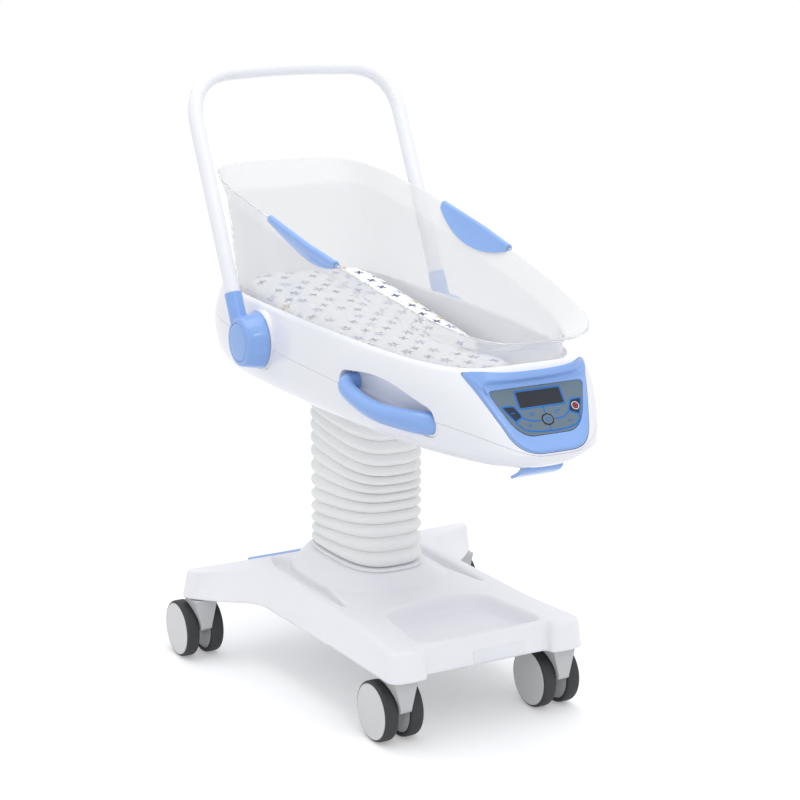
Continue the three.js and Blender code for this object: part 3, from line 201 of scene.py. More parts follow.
def finish(name, colour, rough=0.35, drift=0.03, grain=900.0, depth=0.00006, edge=0.0012, rub=0.25, **sockets):
    """A Principled material with drifting colour, rubbed edges, uneven gloss and grain."""
    material = bpy.data.materials.new(name)
    material.use_nodes = True
    tree = material.node_tree
    tree.nodes.clear()
    shader = add(tree, "ShaderNodeBsdfPrincipled", sockets)
    grained = use(tree, GRAIN, Scale=grain)
    edged = use(tree, EDGES, Radius=edge)
    deep = tuple(c * (1 - drift) for c in colour[:3]) + (1.0,)
    pale = tuple(c + (1 - c) * rub for c in colour[:3]) + (1.0,)
    base = add(tree, "ShaderNodeMix", {6: deep, 7: colour, 0: grained.outputs["Patches"]}, data_type="RGBA")
    rubbed = add(tree, "ShaderNodeMix", {6: base.outputs[2], 7: pale, 0: edged.outputs["Rubbed"]}, data_type="RGBA")
    gloss = add(tree, "ShaderNodeMapRange", {
        "Value": grained.outputs["Patches"], "To Min": rough * 0.85, "To Max": min(1.0, rough * 1.15),
    })
    bump = add(tree, "ShaderNodeBump", {
        "Height": grained.outputs["Height"], "Normal": edged.outputs["Normal"], "Distance": depth, "Strength": 0.6,
    })
    tree.links.new(rubbed.outputs[2], shader.inputs["Base Color"])
    tree.links.new(gloss.outputs["Result"], shader.inputs["Roughness"])
    tree.links.new(bump.outputs["Normal"], shader.inputs["Normal"])
    out = add(tree, "ShaderNodeOutputMaterial", {"Surface": shader.outputs["BSDF"]})
    out.location = (600, 0)
    MATERIALS[name] = material
    return material


WHITE = finish("deck_white", linear(238, 239, 245), rough=0.16, drift=0.012, depth=0.00003)
BASE_WHITE = finish("base_white", linear(243, 243, 247), rough=0.36, drift=0.02, grain=700.0, depth=0.00008)
BLUE = finish("sky_blue", linear(138, 176, 236), rough=0.16, drift=0.04, depth=0.00004, rub=0.35)
LACQUER = finish("white_lacquer", linear(240, 241, 246), rough=0.2, drift=0.01, grain=300.0, depth=0.00003)
STEEL = finish("plain_steel", linear(168, 172, 176), rough=0.36, drift=0.15, grain=500.0, Metallic=1.0)
TYRE = finish("tyre_grey", linear(54, 55, 57), rough=0.62, drift=0.18, grain=600.0, depth=0.0002, rub=0.12)
DISC = finish("disc_grey", linear(218, 218, 218), rough=0.4, drift=0.03)
FORK = finish("fork_grey", linear(200, 201, 203), rough=0.38, drift=0.04)
RUBBER = finish(
    "bellows_rubber", linear(245, 246, 245), rough=0.55, drift=0.02, grain=420.0, depth=0.00015, edge=0.0006,
)
SEAM = finish("seam_shadow", linear(120, 124, 132), rough=0.6, drift=0.1, depth=0.00002, edge=0.0003)


def printed(name, colour, rough=0.45, drift=0.05):
    """A flat foil or ink: hardly any grain, fine edges and little gloss."""
    return finish(
        name, colour, rough, drift, depth=0.00002, edge=0.0003, rub=0.05, **{"Specular IOR Level": 0.15},
    )


PANEL = printed("panel_foil", linear(110, 127, 141))
LINES = printed("printed_blue", linear(20, 118, 214))
INK = printed("printed_dark", linear(34, 38, 48), drift=0.1)
SIGNAL = printed("printed_red", linear(196, 52, 60))
PALE_INK = printed("printed_pale", linear(222, 226, 232))
KEY = printed("key_foil", linear(52, 58, 68), drift=0.08)
DISPLAY = printed("display_glass", linear(56, 58, 66), rough=0.12)
print("finishes", len(MATERIALS))


# %% [markdown]
# ## Clear acrylic
# The tub is a thin clear wall with a slight milky haze: about a third of the light is scattered, and the rest
# goes through. Real glass in a path tracer throws hard dark shadows, so shadow rays, and rays that have been
# reflected many times inside the wall, see a nearly transparent wall instead.

# %% Clear acrylic
def make_acrylic():
    material = bpy.data.materials.new("clear_acrylic")
    material.use_nodes = True
    tree = material.node_tree
    tree.nodes.clear()
    grained = use(tree, GRAIN, Scale=240.0, Patch=14.0)
    smears = add(tree, "ShaderNodeMapRange", {"Value": grained.outputs["Patches"], "To Min": 0.0, "To Max": 0.02})
    glass = add(tree, "ShaderNodeBsdfPrincipled", {
        "Base Color": (0.88, 0.882, 0.886, 1.0), "Roughness": smears.outputs["Result"], "IOR": 1.14,
        "Transmission Weight": 0.65,
    })
    clear = add(tree, "ShaderNodeBsdfTransparent", {"Color": (0.985, 0.985, 0.985, 1.0)})
    rays = add(tree, "ShaderNodeLightPath")
    unseen = maths(tree, "MAXIMUM", rays.outputs["Is Shadow Ray"], rays.outputs["Is Diffuse Ray"])
    deep = maths(tree, "GREATER_THAN", rays.outputs["Ray Depth"], 4.5)
    unseen = maths(tree, "MAXIMUM", unseen, deep)
    both = add(tree, "ShaderNodeMixShader", {0: unseen, 1: glass.outputs["BSDF"], 2: clear.outputs["BSDF"]})
    add(tree, "ShaderNodeOutputMaterial", {"Surface": both.outputs["Shader"]})
    return material


ACRYLIC = make_acrylic()


# %% [markdown]
# ## Printed cotton
# The mattress has a cotton cover with a small scattered print. The weave is two crossed waves. The print cuts
# the plane into cells, moves and turns one flower in each cell, and leaves dots between them: each layer has its
# own number of petals and size, and the ink comes from the cell's own random number. The print is seen straight
# from above, so it would smear down the sides: it fades out where the cloth turns away.

# %% Cotton weave and scattered print
def make_weave():
    tree, given, out = effect_group("cotton_weave", {"Threads": 700.0}, {"Height": "Float"})
    place = add(tree, "ShaderNodeTexCoord").outputs["Object"]
    warp, weft = [
        add(tree, "ShaderNodeTexWave", {"Vector": place, "Scale": given.outputs["Threads"], "Distortion": 0.6},
            bands_direction=axis).outputs["Fac"]
        for axis in "XY"
    ]
    tree.links.new(maths(tree, "MAXIMUM", warp, weft), out.inputs["Height"])
    return tree


def motif_layer(tree, plane, cell, offset, petals, size):
    """The mask of one flower or dot in each cell of a grid, and the cell's random value."""
    grid = add(tree, "ShaderNodeVectorMath", {0: plane, 1: (1 / cell, 1 / cell, 0.0), 2: offset},
               operation="MULTIPLY_ADD").outputs["Vector"]
    corner = add(tree, "ShaderNodeVectorMath", {0: grid}, operation="FLOOR").outputs["Vector"]
    inside = add(tree, "ShaderNodeVectorMath", {0: grid}, operation="FRACTION").outputs["Vector"]
    chance = add(tree, "ShaderNodeTexWhiteNoise", {"Vector": corner}, noise_dimensions="3D")
    moved = add(tree, "ShaderNodeVectorMath", {0: chance.outputs["Color"], 1: (0.3, 0.3, 0.0), 2: (0.35, 0.35, 0.0)},
                operation="MULTIPLY_ADD").outputs["Vector"]
    arm = add(tree, "ShaderNodeVectorMath", {0: inside, 1: moved}, operation="SUBTRACT").outputs["Vector"]
    parts = add(tree, "ShaderNodeSeparateXYZ", {0: arm})
    reach = maths(tree, "SQRT", maths(
        tree, "ADD", maths(tree, "POWER", parts.outputs["X"], 2.0), maths(tree, "POWER", parts.outputs["Y"], 2.0),
    ))
    turn = maths(tree, "ARCTAN2", parts.outputs["Y"], parts.outputs["X"])
    spun = maths(tree, "MULTIPLY_ADD", chance.outputs["Value"], 6.28, turn)
    wave = maths(tree, "COSINE", maths(tree, "MULTIPLY", spun, float(petals)))
    edge = maths(tree, "MULTIPLY_ADD", wave, 0.32 * size, 0.68 * size)
    mask = add(tree, "ShaderNodeMapRange", {
        "Value": maths(tree, "SUBTRACT", edge, reach), "From Min": -0.015, "From Max": 0.03,
    })
    return mask.outputs["Result"], chance.outputs["Value"], reach


def make_print():
    tree, _, out = effect_group("scattered_print", {}, {"Color": "Color", "Inked": "Float"})
    coords = add(tree, "ShaderNodeTexCoord")
    place = coords.outputs["Object"]
    facing = add(tree, "ShaderNodeSeparateXYZ", {0: coords.outputs["Normal"]}).outputs["Z"]
    on_top = add(tree, "ShaderNodeMapRange", {"Value": facing, "From Min": 0.3, "From Max": 0.6}).outputs["Result"]
    bloomed, chance, reach = motif_layer(tree, place, 0.046, (0.2, 0.4, 0.0), 5, 0.24)
    dots, dot_chance, _ = motif_layer(tree, place, 0.0165, (0.7, 0.1, 0.0), 3, 0.1)
    star, star_chance, _ = motif_layer(tree, place, 0.046, (0.7, 0.9, 0.0), 4, 0.2)
    flower = maths(tree, "MULTIPLY", bloomed, on_top)
    inks = add(tree, "ShaderNodeValToRGB", {"Fac": chance})
    inks.color_ramp.interpolation = "CONSTANT"
    stops = [
        (0.0, linear(92, 104, 172)), (0.4, linear(38, 44, 104)), (0.72, linear(136, 156, 208)),
        (0.9, linear(178, 142, 72)),
    ]
    ramp = inks.color_ramp.elements
    ramp[0].color = stops[0][1]
    ramp[1].position, ramp[1].color = stops[1]
    for position, colour in stops[2:]:
        ramp.new(position).color = colour
    cloth = linear(246, 246, 248)
    heart = add(tree, "ShaderNodeMapRange", {"Value": reach, "From Min": 0.07, "From Max": 0.05})
    bloom = add(tree, "ShaderNodeMix", {6: inks.outputs["Color"], 7: linear(240, 226, 188), 0: heart.outputs["Result"]},
                data_type="RGBA")
    first = add(tree, "ShaderNodeMix", {6: cloth, 7: bloom.outputs[2], 0: flower}, data_type="RGBA")
    starred = maths(tree, "MULTIPLY", maths(tree, "MULTIPLY", star, on_top), maths(tree, "GREATER_THAN", star_chance, 0.2))
    second = add(tree, "ShaderNodeMix", {6: first.outputs[2], 7: linear(48, 54, 116), 0: starred}, data_type="RGBA")
    dotted = maths(tree, "MULTIPLY", maths(tree, "MULTIPLY", dots, on_top), maths(tree, "GREATER_THAN", dot_chance, 0.62))
    third = add(tree, "ShaderNodeMix", {6: second.outputs[2], 7: linear(70, 74, 96), 0: dotted}, data_type="RGBA")
    tree.links.new(third.outputs[2], out.inputs["Color"])
    tree.links.new(maths(tree, "MAXIMUM", flower, starred), out.inputs["Inked"])
    return tree


def make_cotton():
    material = bpy.data.materials.new("printed_cotton")
    material.use_nodes = True
    tree = material.node_tree
    tree.nodes.clear()
    shader = add(tree, "ShaderNodeBsdfPrincipled", {"Sheen Weight": 0.25, "Specular IOR Level": 0.25})
    printed = use(tree, make_print())
    woven = use(tree, make_weave())
    dull = add(tree, "ShaderNodeMapRange", {"Value": printed.outputs["Inked"], "To Min": 0.85, "To Max": 0.7})
    bump = add(tree, "ShaderNodeBump", {"Height": woven.outputs["Height"], "Distance": 0.0002, "Strength": 0.5})
    tree.links.new(printed.outputs["Color"], shader.inputs["Base Color"])
    tree.links.new(dull.outputs["Result"], shader.inputs["Roughness"])
    tree.links.new(bump.outputs["Normal"], shader.inputs["Normal"])
    add(tree, "ShaderNodeOutputMaterial", {"Surface": shader.outputs["BSDF"]})
    return material


COTTON = make_cotton()
print("cotton", len(COTTON.node_tree.nodes), "nodes")


# %% [markdown]
# ## Floor and light
# A pale floor, a broad light above and in front, and an even white room. The floor glows a little for the
# camera alone, so that it reaches the white of the background and still carries the shadow.

# %% Floor, room and lamps
def seen_rays(tree):
    """1 for rays from the camera, a mirror or a clear wall, 0 for the rays that light the object."""
    rays = add(tree, "ShaderNodeLightPath")
    seen = maths(tree, "MAXIMUM", rays.outputs["Is Camera Ray"], rays.outputs["Is Glossy Ray"])
    return maths(tree, "MAXIMUM", seen, rays.outputs["Is Transmission Ray"])


FLOOR_HALF = 9.0
ROOM_LIGHT = 0.86
FLOOR_GLOW = 0.27


def make_room():
    world = bpy.data.worlds.new("white_room")
    scene.world = world
    world.use_nodes = True
    tree = world.node_tree
    tree.nodes.clear()
    lit = add(tree, "ShaderNodeBackground", {"Color": (0.98, 0.99, 1.0, 1.0), "Strength": ROOM_LIGHT})
    shown = add(tree, "ShaderNodeBackground", {"Color": (1.0, 1.0, 1.0, 1.0), "Strength": 1.0})
    both = add(tree, "ShaderNodeMixShader", {0: seen_rays(tree), 1: lit.outputs[0], 2: shown.outputs[0]})
    add(tree, "ShaderNodeOutputWorld", {"Surface": both.outputs[0]})


def make_floor():
    mesh = bpy.data.meshes.new("floor")
    mesh.from_pydata(
        [(x * FLOOR_HALF, y * FLOOR_HALF, 0.0) for x, y in ((-1, -1), (1, -1), (1, 1), (-1, 1))], [], [(0, 1, 2, 3)],
    )
    floor = bpy.data.objects.new("floor", mesh)
    scene.collection.objects.link(floor)
    material = bpy.data.materials.new("pale_floor")
    material.use_nodes = True
    tree = material.node_tree
    tree.nodes.clear()
    matt = add(tree, "ShaderNodeBsdfDiffuse", {"Color": (0.86, 0.86, 0.87, 1.0)})
    glow = add(tree, "ShaderNodeEmission", {"Strength": maths(tree, "MULTIPLY", seen_rays(tree), FLOOR_GLOW)})
    total = add(tree, "ShaderNodeAddShader", {0: matt.outputs[0], 1: glow.outputs[0]})
    add(tree, "ShaderNodeOutputMaterial", {"Surface": total.outputs[0]})
    mesh.materials.append(material)


def lamp(name, place, energy, size):
    """A square soft light that looks at the middle of the cot."""
    light = bpy.data.lights.new(name, "AREA")
    light.energy = energy
    light.size = size
    holder = bpy.data.objects.new(name, light)
    scene.collection.objects.link(holder)
    holder.location = place
    holder.rotation_euler = (Vector(place) - Vector((0, 0, 0.5))).to_track_quat("Z", "Y").to_euler()


make_room()
make_floor()
lamp("key_light", (0.2, -2.4, 3.2), 11.0, 2.0)
lamp("top_light", (0.0, 0.2, 3.4), 30.0, 2.4)
lamp("small_light", (-0.6, -2.6, 2.6), 2.5, 0.3)


# %% [markdown]
# ## Mesh helpers
# The cot's shapes are drawn in millimetres on the same sections as the solids, with many more points. A skin
# joins rings of points, a turning spins a profile, a bar follows a path, and a carving adds or removes one
# closed form from another. Each new piece rides on its body and stands for the solid that it replaces.

# %% Rings and skins
def row(x, y, z):
    """A point drawn in millimetres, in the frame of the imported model."""
    return Vector((x * MM, y * MM + SHIFT, z * MM))


def mix(first, second, share):
    return [tuple(a + (b - a) * share for a, b in zip(p, q)) for p, q in zip(first, second)]


def smoothstep(value, low, high):
    share = min(1.0, max(0.0, (value - low) / (high - low)))
    return share * share * (3 - 2 * share)


def skin(name, rings, closed=False, caps=True):
    """A mesh through rings of points: closed end to start, or with both ends filled."""
    mesh = bpy.data.meshes.new(name)
    count = len(rings[0])
    points = [row(*p) for ring in rings for p in ring]
    faces = []
    for r in range(len(rings) if closed else len(rings) - 1):
        low = r * count
        high = ((r + 1) % len(rings)) * count
        faces += [(low + i, low + (i + 1) % count, high + (i + 1) % count, high + i) for i in range(count)]
    if caps and not closed:
        faces.append(tuple(reversed(range(count))))
        faces.append(tuple(range(len(points) - count, len(points))))
    mesh.from_pydata(points, [], faces)
    tidy(mesh)
    return mesh


def tidy(mesh):
    """Faces outwards, equal points joined."""
    work = bmesh.new()
    work.from_mesh(mesh)
    bmesh.ops.remove_doubles(work, verts=work.verts, dist=1e-6)
    bmesh.ops.recalc_face_normals(work, faces=work.faces)
    work.to_mesh(mesh)
    work.free()
    mesh.update()


def piece(name, mesh, material, body=None, stands_for=(), sharp=35.0):
    """An object with smooth faces and crisp edges, on its body, in place of the solids it stands for."""
    holder = bpy.data.objects.new(name, mesh)
    scene.collection.objects.link(holder)
    if material is not None:
        mesh.materials.clear()
        mesh.materials.append(material)
    mesh.polygons.foreach_set("use_smooth", [True] * len(mesh.polygons))
    mesh.set_sharp_from_angle(angle=math.radians(sharp))
    if stands_for:
        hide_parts(*stands_for)
    if body:
        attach(holder, body)
    return holder


def settled(holder):
    """The object's mesh with its modifiers applied."""
    graph = bpy.context.evaluated_depsgraph_get()
    mesh = bpy.data.meshes.new_from_object(holder.evaluated_get(graph))
    old = holder.data
    holder.modifiers.clear()
    holder.data = mesh
    bpy.data.meshes.remove(old)
    return mesh


def carve(mesh, *steps):
    """A mesh with other closed meshes taken out of it or joined to it, in turn."""
    holder = bpy.data.objects.new("carving", mesh)
    scene.collection.objects.link(holder)
    tools = []
    for operation, tool in steps:
        cutter = bpy.data.objects.new("cutter", tool)
        scene.collection.objects.link(cutter)
        tools.append(cutter)
        change = holder.modifiers.new("step", "BOOLEAN")
        change.operation = operation
        change.solver = "EXACT"
        change.object = cutter
    result = settled(holder)
    for thing in [holder, *tools]:
        bpy.data.objects.remove(thing)
    tidy(result)
    return result


def refined(mesh, levels):
    """A mesh after a number of Catmull-Clark subdivisions."""
    holder = bpy.data.objects.new("refining", mesh)
    scene.collection.objects.link(holder)
    step = holder.modifiers.new("subdivide", "SUBSURF")
    step.levels = levels
    result = settled(holder)
    bpy.data.objects.remove(holder)
    return result


# %% Plan outlines
def square_point(share, power, rear_power):
    turn = 2 * math.pi * share
    across, along = (math.copysign(abs(v) ** 0.7, v) for v in (math.cos(turn), math.sin(turn)))
    square = power if along < 0 else rear_power
    reach = (abs(across) ** square + abs(along) ** square) ** (-1 / square)
    return across * reach, along * reach


def plan_ring(outline, height, count=128):
    """Points of a rounded oblong in plan that narrows towards the front, at a height that may depend on Y."""
    half, front, rear, taper, power, rear_power = outline
    points = []
    for i in range(count):
        u, v = square_point(i / count, power, rear_power)
        y = (front + rear) / 2 + (rear - front) / 2 * v
        z = height(y) if callable(height) else height
        points.append((half * u * (1 + taper * min(v, 0.0)), y, z))
    return points


def grown(outline, amount):
    half, front, rear, *rest = outline
    return (half + amount, front - amount, rear + amount, *rest)


def rounded(corners, steps=8):
    """A closed outline through corners (x, y, radius), each corner rounded."""
    points = []
    for i, (x, y, radius) in enumerate(corners):
        corner = Vector((x, y))
        legs = []
        for other in (corners[i - 1], corners[(i + 1) % len(corners)]):
            leg = Vector(other[:2]) - corner
            legs.append(corner + leg.normalized() * min(radius, leg.length * 0.48))
        if radius <= 0:
            points.append(tuple(corner))
            continue
        for k in range(steps + 1):
            t = k / steps
            p = legs[0] * (1 - t) ** 2 + corner * 2 * t * (1 - t) + legs[1] * t ** 2
            points.append(tuple(p))
    return points


def both_sides(right):
    return [*right, *[(-x, y, r) for x, y, r in reversed(right)]]


def spaced(points, count):
    """A closed outline as evenly spaced points."""
    loop = [Vector(p) for p in points]
    loop.append(loop[0])
    runs = [0.0]
    for a, b in zip(loop, loop[1:]):
        runs.append(runs[-1] + (b - a).length)
    result = []
    k = 0
    for i in range(count):
        goal = runs[-1] * i / count
        while runs[k + 1] < goal:
            k += 1
        share = (goal - runs[k]) / max(1e-9, runs[k + 1] - runs[k])
        result.append(tuple(loop[k].lerp(loop[k + 1], share)))
    return result


def slab(name, outline, low, high):
    return skin(name, [[(x, y, z) for x, y in outline] for z in (low, high)])


def cross_slab(name, outline, left, right):
    """A slab whose outline lies in the YZ plane, between two X values."""
    return skin(name, [[(x, y, z) for y, z in outline] for x in (left, right)])


def turned(name, profile, centre=(0, 0, 0), sides=96, side=1):
    """A profile of (radius, along X) spun about the X axis through a point."""
    cx, cy, cz = centre
    rings = []
    for radius, along in profile:
        radius = max(radius, 1e-4)
        rings.append([
            (cx + side * along, cy + radius * math.cos(2 * math.pi * i / sides), cz + radius * math.sin(2 * math.pi * i / sides))
            for i in range(sides)
        ])
    return skin(name, rings)


def bar(name, path, radius, sides=28, closed_end=True):
    """A round bar along a list of points. radius may be a function of the share of the way."""
    points = [Vector(p) for p in path]
    rings = []
    normal = None
    for i, p in enumerate(points):
        ahead = points[min(i + 1, len(points) - 1)] - points[max(i - 1, 0)]
        ahead.normalize()
        if normal is None:
            normal = ahead.orthogonal().normalized()
        normal = (normal - ahead * normal.dot(ahead)).normalized()
        other = ahead.cross(normal)
        size = radius(i / (len(points) - 1)) if callable(radius) else radius
        rings.append([
            tuple(p + (normal * math.cos(2 * math.pi * k / sides) + other * math.sin(2 * math.pi * k / sides)) * size)
            for k in range(sides)
        ])
    return skin(name, rings, caps=closed_end)


def smooth_path(points, steps=12):
    """A Catmull-Rom path through points."""
    points = [Vector(p) for p in points]
    ends = [points[0] * 2 - points[1], *points, points[-1] * 2 - points[-2]]
    result = []
    for a, b, c, d in zip(ends, ends[1:], ends[2:], ends[3:]):
        for k in range(steps):
            t = k / steps
            result.append((b * 2 + (c - a) * t + (a * 2 - b * 5 + c * 4 - d) * t ** 2 + (b * 3 - a - c * 3 + d) * t ** 3) / 2)
    result.append(points[-1])
    return [tuple(p) for p in result]


print("helpers ready")


# %% [markdown]
# ## Clear tub
# The tub is one vacuum-formed wall: a flat floor, a tight fillet, sides that lean out, and a lip that flares
# to a rounded bead. It is drawn as a ladder of plan outlines up the outside and down the inside, then
# subdivided, which rounds the fillet and the bead as the forming does.

# %% Tub
TRAY_SLOPE = math.tan(math.radians(9))
RIM_SLOPE = math.tan(math.radians(11.5))
RIM_DROOP = 1e-4
DROOP_START = 100
TUB_POWERS = (3.9, 8.0)
TUB_FLOOR = (138, -381, 355, 0.1, *TUB_POWERS)
TUB_SHOULDER = (150, -400, 388, 0.14, *TUB_POWERS)
TUB_LIP = (170, -463, 430, 0.19, 3.9, 4.8)
TUB_WALL = 3.5
LIP_HEIGHT = 38
BEAD = 3


def tray_level(lift):
    return lambda y: 552 + TRAY_SLOPE * y + lift


def rim_level(lift):
    return lambda y: 767 + RIM_SLOPE * y - RIM_DROOP * max(0, y - DROOP_START) ** 2 + lift


def tub_mesh():
    count = 72
    floor, fillet, shoulder, lip = TUB_FLOOR, grown(TUB_FLOOR, 3), TUB_SHOULDER, TUB_LIP
    out_floor = plan_ring(grown(floor, -5), tray_level(0.3), count)
    out_fillet = plan_ring(fillet, tray_level(6.3), count)
    out_shoulder = plan_ring(shoulder, rim_level(-LIP_HEIGHT), count)
    out_lip = plan_ring(grown(lip, -1), rim_level(-BEAD), count)
    in_lip = plan_ring(grown(lip, -TUB_WALL), rim_level(0), count)
    in_shoulder = plan_ring(grown(shoulder, -TUB_WALL), rim_level(1 - LIP_HEIGHT), count)
    in_fillet = plan_ring(grown(fillet, -TUB_WALL), tray_level(TUB_WALL + 5.3), count)
    in_floor = plan_ring(grown(floor, -TUB_WALL - 5), tray_level(TUB_WALL + 0.3), count)
    return refined(skin("tub", [
        plan_ring(grown(floor, -40), tray_level(0.3), count),
        out_floor, out_fillet, mix(out_fillet, out_shoulder, 0.08), mix(out_fillet, out_shoulder, 0.5),
        mix(out_fillet, out_shoulder, 0.93), out_shoulder, mix(out_shoulder, out_lip, 0.2), mix(out_shoulder, out_lip, 0.7),
        out_lip, plan_ring(lip, rim_level(-BEAD / 2), count), plan_ring(grown(lip, -1), rim_level(0), count),
        in_lip, mix(in_lip, in_shoulder, 0.3), mix(in_lip, in_shoulder, 0.8), in_shoulder,
        mix(in_shoulder, in_fillet, 0.07), mix(in_shoulder, in_fillet, 0.5), mix(in_shoulder, in_fillet, 0.92),
        in_fillet, in_floor, plan_ring(grown(floor, -TUB_WALL - 40), tray_level(TUB_WALL + 0.3), count),
    ]), 2)


tub = piece("clear_tub_shell", tub_mesh(), ACRYLIC, "clear_tub", ["tub"], sharp=80)
print("tub", len(tub.data.polygons), "faces")


# %% [markdown]
# ## Rim grips
# Two blue crescents clip over the rim where hands lift the tub. Their skirts are deep in the middle and thin
# out to the tips, and follow the lip inside and outside.

# %% Rim grips
GRIP_SPAN = (-102, 117)
GRIP_DEPTH = 32
GRIP_TIP = 7
GRIP_HEAD = 4
GRIP_THICK = 3


def half_at(outline, y):
    half, front, rear, taper, power, rear_power = outline
    v = (2 * y - front - rear) / (rear - front)
    square = power if v < 0 else rear_power
    return half * (1 + taper * min(v, 0.0)) * (1 - abs(v) ** square) ** (1 / square)


def rim_grip_mesh(side):
    stations = 48
    rings = []
    for i in range(stations + 1):
        share = 2 * i / stations - 1
        y = GRIP_SPAN[0] + (GRIP_SPAN[1] - GRIP_SPAN[0]) * i / stations
        drop = GRIP_TIP + (GRIP_DEPTH - GRIP_TIP) * (1 - share * share)
        rim = half_at(TUB_LIP, y)
        flare = (rim - half_at(TUB_SHOULDER, y)) / (LIP_HEIGHT - BEAD)
        top = rim_level(0.3)(y)

        def outside(fall):
            return rim + 0.6 - flare * max(0, fall - 2 * BEAD)

        def inside(fall):
            return rim - TUB_WALL - 1.2 - flare * fall

        crown = [
            ((inside(0) + outside(0)) / 2 + (math.cos(a) * (outside(0) - inside(0) + 2 * GRIP_THICK) / 2), math.sin(a) * GRIP_HEAD)
            for a in [math.pi * k / 10 for k in range(11)]
        ]
        section = [
            (outside(drop), -drop), (outside(drop) + GRIP_THICK * 0.7, -drop), (outside(0) + GRIP_THICK, -2 * BEAD), *crown,
            (inside(drop) - GRIP_THICK * 0.7, -drop), (inside(drop), -drop), (inside(0), 0), (outside(0), 0), (outside(0), -2 * BEAD),
        ]
        rings.append([(side * x, y, top + z) for x, z in section])
    return skin(f"rim_grip_{side}", rings)


for word, side in (("left", -1), ("right", 1)):
    piece(f"rim_grip_{word}", rim_grip_mesh(side), BLUE, "clear_tub", [f"tub_grip_{word}"], sharp=40)


# %% [markdown]
# ## Mattress
# A thin foam pad in a cotton cover. The solid gives its place and outline. A copy is remeshed and blown up a
# little with cloth pressure, which crowns the top and pulls the sides in, and its underside stays flat on the
# tub's floor.

# %% Mattress
def pad_mesh():
    source = frame["nodes"]["mattress"].data.copy()
    tidy(source)
    holder = bpy.data.objects.new("pad", source)
    scene.collection.objects.link(holder)
    remesh = holder.modifiers.new("remesh", "REMESH")
    remesh.mode = "VOXEL"
    remesh.voxel_size = 0.006
    settled(holder)
    rest = [v.co.copy() for v in holder.data.vertices]
    cloth = holder.modifiers.new("cloth", "CLOTH")
    cloth.settings.use_pressure = True
    cloth.settings.uniform_pressure_force = 4.0
    cloth.settings.effector_weights.gravity = 0.0
    cloth.settings.quality = 5
    cloth.point_cache.frame_start = 1
    cloth.point_cache.frame_end = 20
    for step in range(1, 21):
        scene.frame_set(step)
    settled(holder)
    scene.frame_set(1)
    cap = 0.005
    for vertex, start in zip(holder.data.vertices, rest):
        moved = vertex.co - start
        under = tray_level(TUB_WALL + 0.6)((start.y - SHIFT) / MM) * MM
        keep = smoothstep(start.z - under, 0.002, 0.02)
        vertex.co = start + moved.normalized() * min(moved.length, cap) * keep if moved.length > 1e-9 else start
    mesh = holder.data.copy()
    bpy.data.objects.remove(holder)
    return refined(mesh, 1)


pad = piece("cotton_pad", pad_mesh(), COTTON, "pad", ["mattress"], sharp=180)
print("pad", len(pad.data.polygons), "faces")


# %% [markdown]
# ## Bellows
# A soft rubber sleeve hides the column. Its folds are round outside and sharp in the valleys, and they lie at
# a slant where the sleeve has settled. It is made in two lengths that meet in a valley.

# %% Bellows
BELLOWS_LOW = 194.6
BELLOWS_HIGH = 471.4
BELLOWS = (72, COLUMN_Y - 122, COLUMN_Y + 122, 0.0, 3, 3)
RIBS = 13
RIB_DEPTH = 11
SLEEVE_WALL = 2.5
SLEEVE_SWAY = 15
SPLIT_VALLEY = 8


def sleeve_ring(share, inset):
    level = BELLOWS_LOW + (BELLOWS_HIGH - BELLOWS_LOW) * share
    sway = SLEEVE_SWAY * math.sin(2 * math.pi * share)
    return plan_ring(grown(BELLOWS, -inset), lambda y: level - sway * (y - COLUMN_Y) / 122, 96)


def sleeve_mesh(first, last):
    """The folds from one valley to another, with the bore behind them."""
    steps = 12
    skin_rings = []
    for k in range((last - first) * steps + 1):
        share = (first + k / steps) / RIBS
        fold = abs(math.sin(math.pi * (first + k / steps)))
        skin_rings.append(sleeve_ring(share, RIB_DEPTH * (1 - fold ** 0.75)))
    bore = [
        sleeve_ring(share / RIBS, RIB_DEPTH + SLEEVE_WALL)
        for share in range(last, first - 1, -1)
    ]
    return skin(f"sleeve_{first}", skin_rings + bore, closed=True)


lower_sleeve = piece("bellows_lower", sleeve_mesh(0, SPLIT_VALLEY), RUBBER, None, ["bellows"], sharp=60)
upper_sleeve = piece("bellows_upper", sleeve_mesh(SPLIT_VALLEY, RIBS), RUBBER, None, (), sharp=60)
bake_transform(lower_sleeve)
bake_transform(upper_sleeve)


# %% Collars
def collar_mesh(low):
    outside, inside = grown(BELLOWS, -1), grown(BELLOWS, -RIB_DEPTH - SLEEVE_WALL)
    high = low + 6
    return skin("collar", [
        plan_ring(outside, low + 0.8), plan_ring(outside, high - 0.8), plan_ring(grown(outside, -0.8), high),
        plan_ring(inside, high), plan_ring(inside, low), plan_ring(grown(outside, -0.8), low),
    ], closed=True)


piece("collar_lower", collar_mesh(188.3), BASE_WHITE, "base", ["bellows_collar_lower"])
piece("collar_upper", collar_mesh(471.7), WHITE, "deck", ["bellows_collar_upper"])


# %% [markdown]
# ## Deck shells
# The deck is a boat of two thin mouldings that meet in a fine line. Its sections are rounded oblongs that
# change with height: a round bilge, a bulging belt and a rim that turns over to the sloped tray. The skins
# use the same sections as the solids, with finer rings, and then the grip pockets, the hub bosses and the
# console window are carved.

# %% Hull sections
HULL_BOTTOM, HULL_BELT, HULL_CREST = 478, 565, 634
BILGE_TOP, BILGE_INSET = 514, 55
HULL_HALF, HULL_REAR = 175, 455
CONSOLE_Y, CONSOLE_Z = -502, 510
CONSOLE_RAKE = math.radians(37)
HULL_POWER, BOW_POWER, BOW_TOP = 4.4, 2.5, 600
FRONT_TAPER = 0.08
PART_HEIGHT, PART_RISE, PART_DIP = 565, 20, 36
WALL = 3.5
SEAT = 0.3


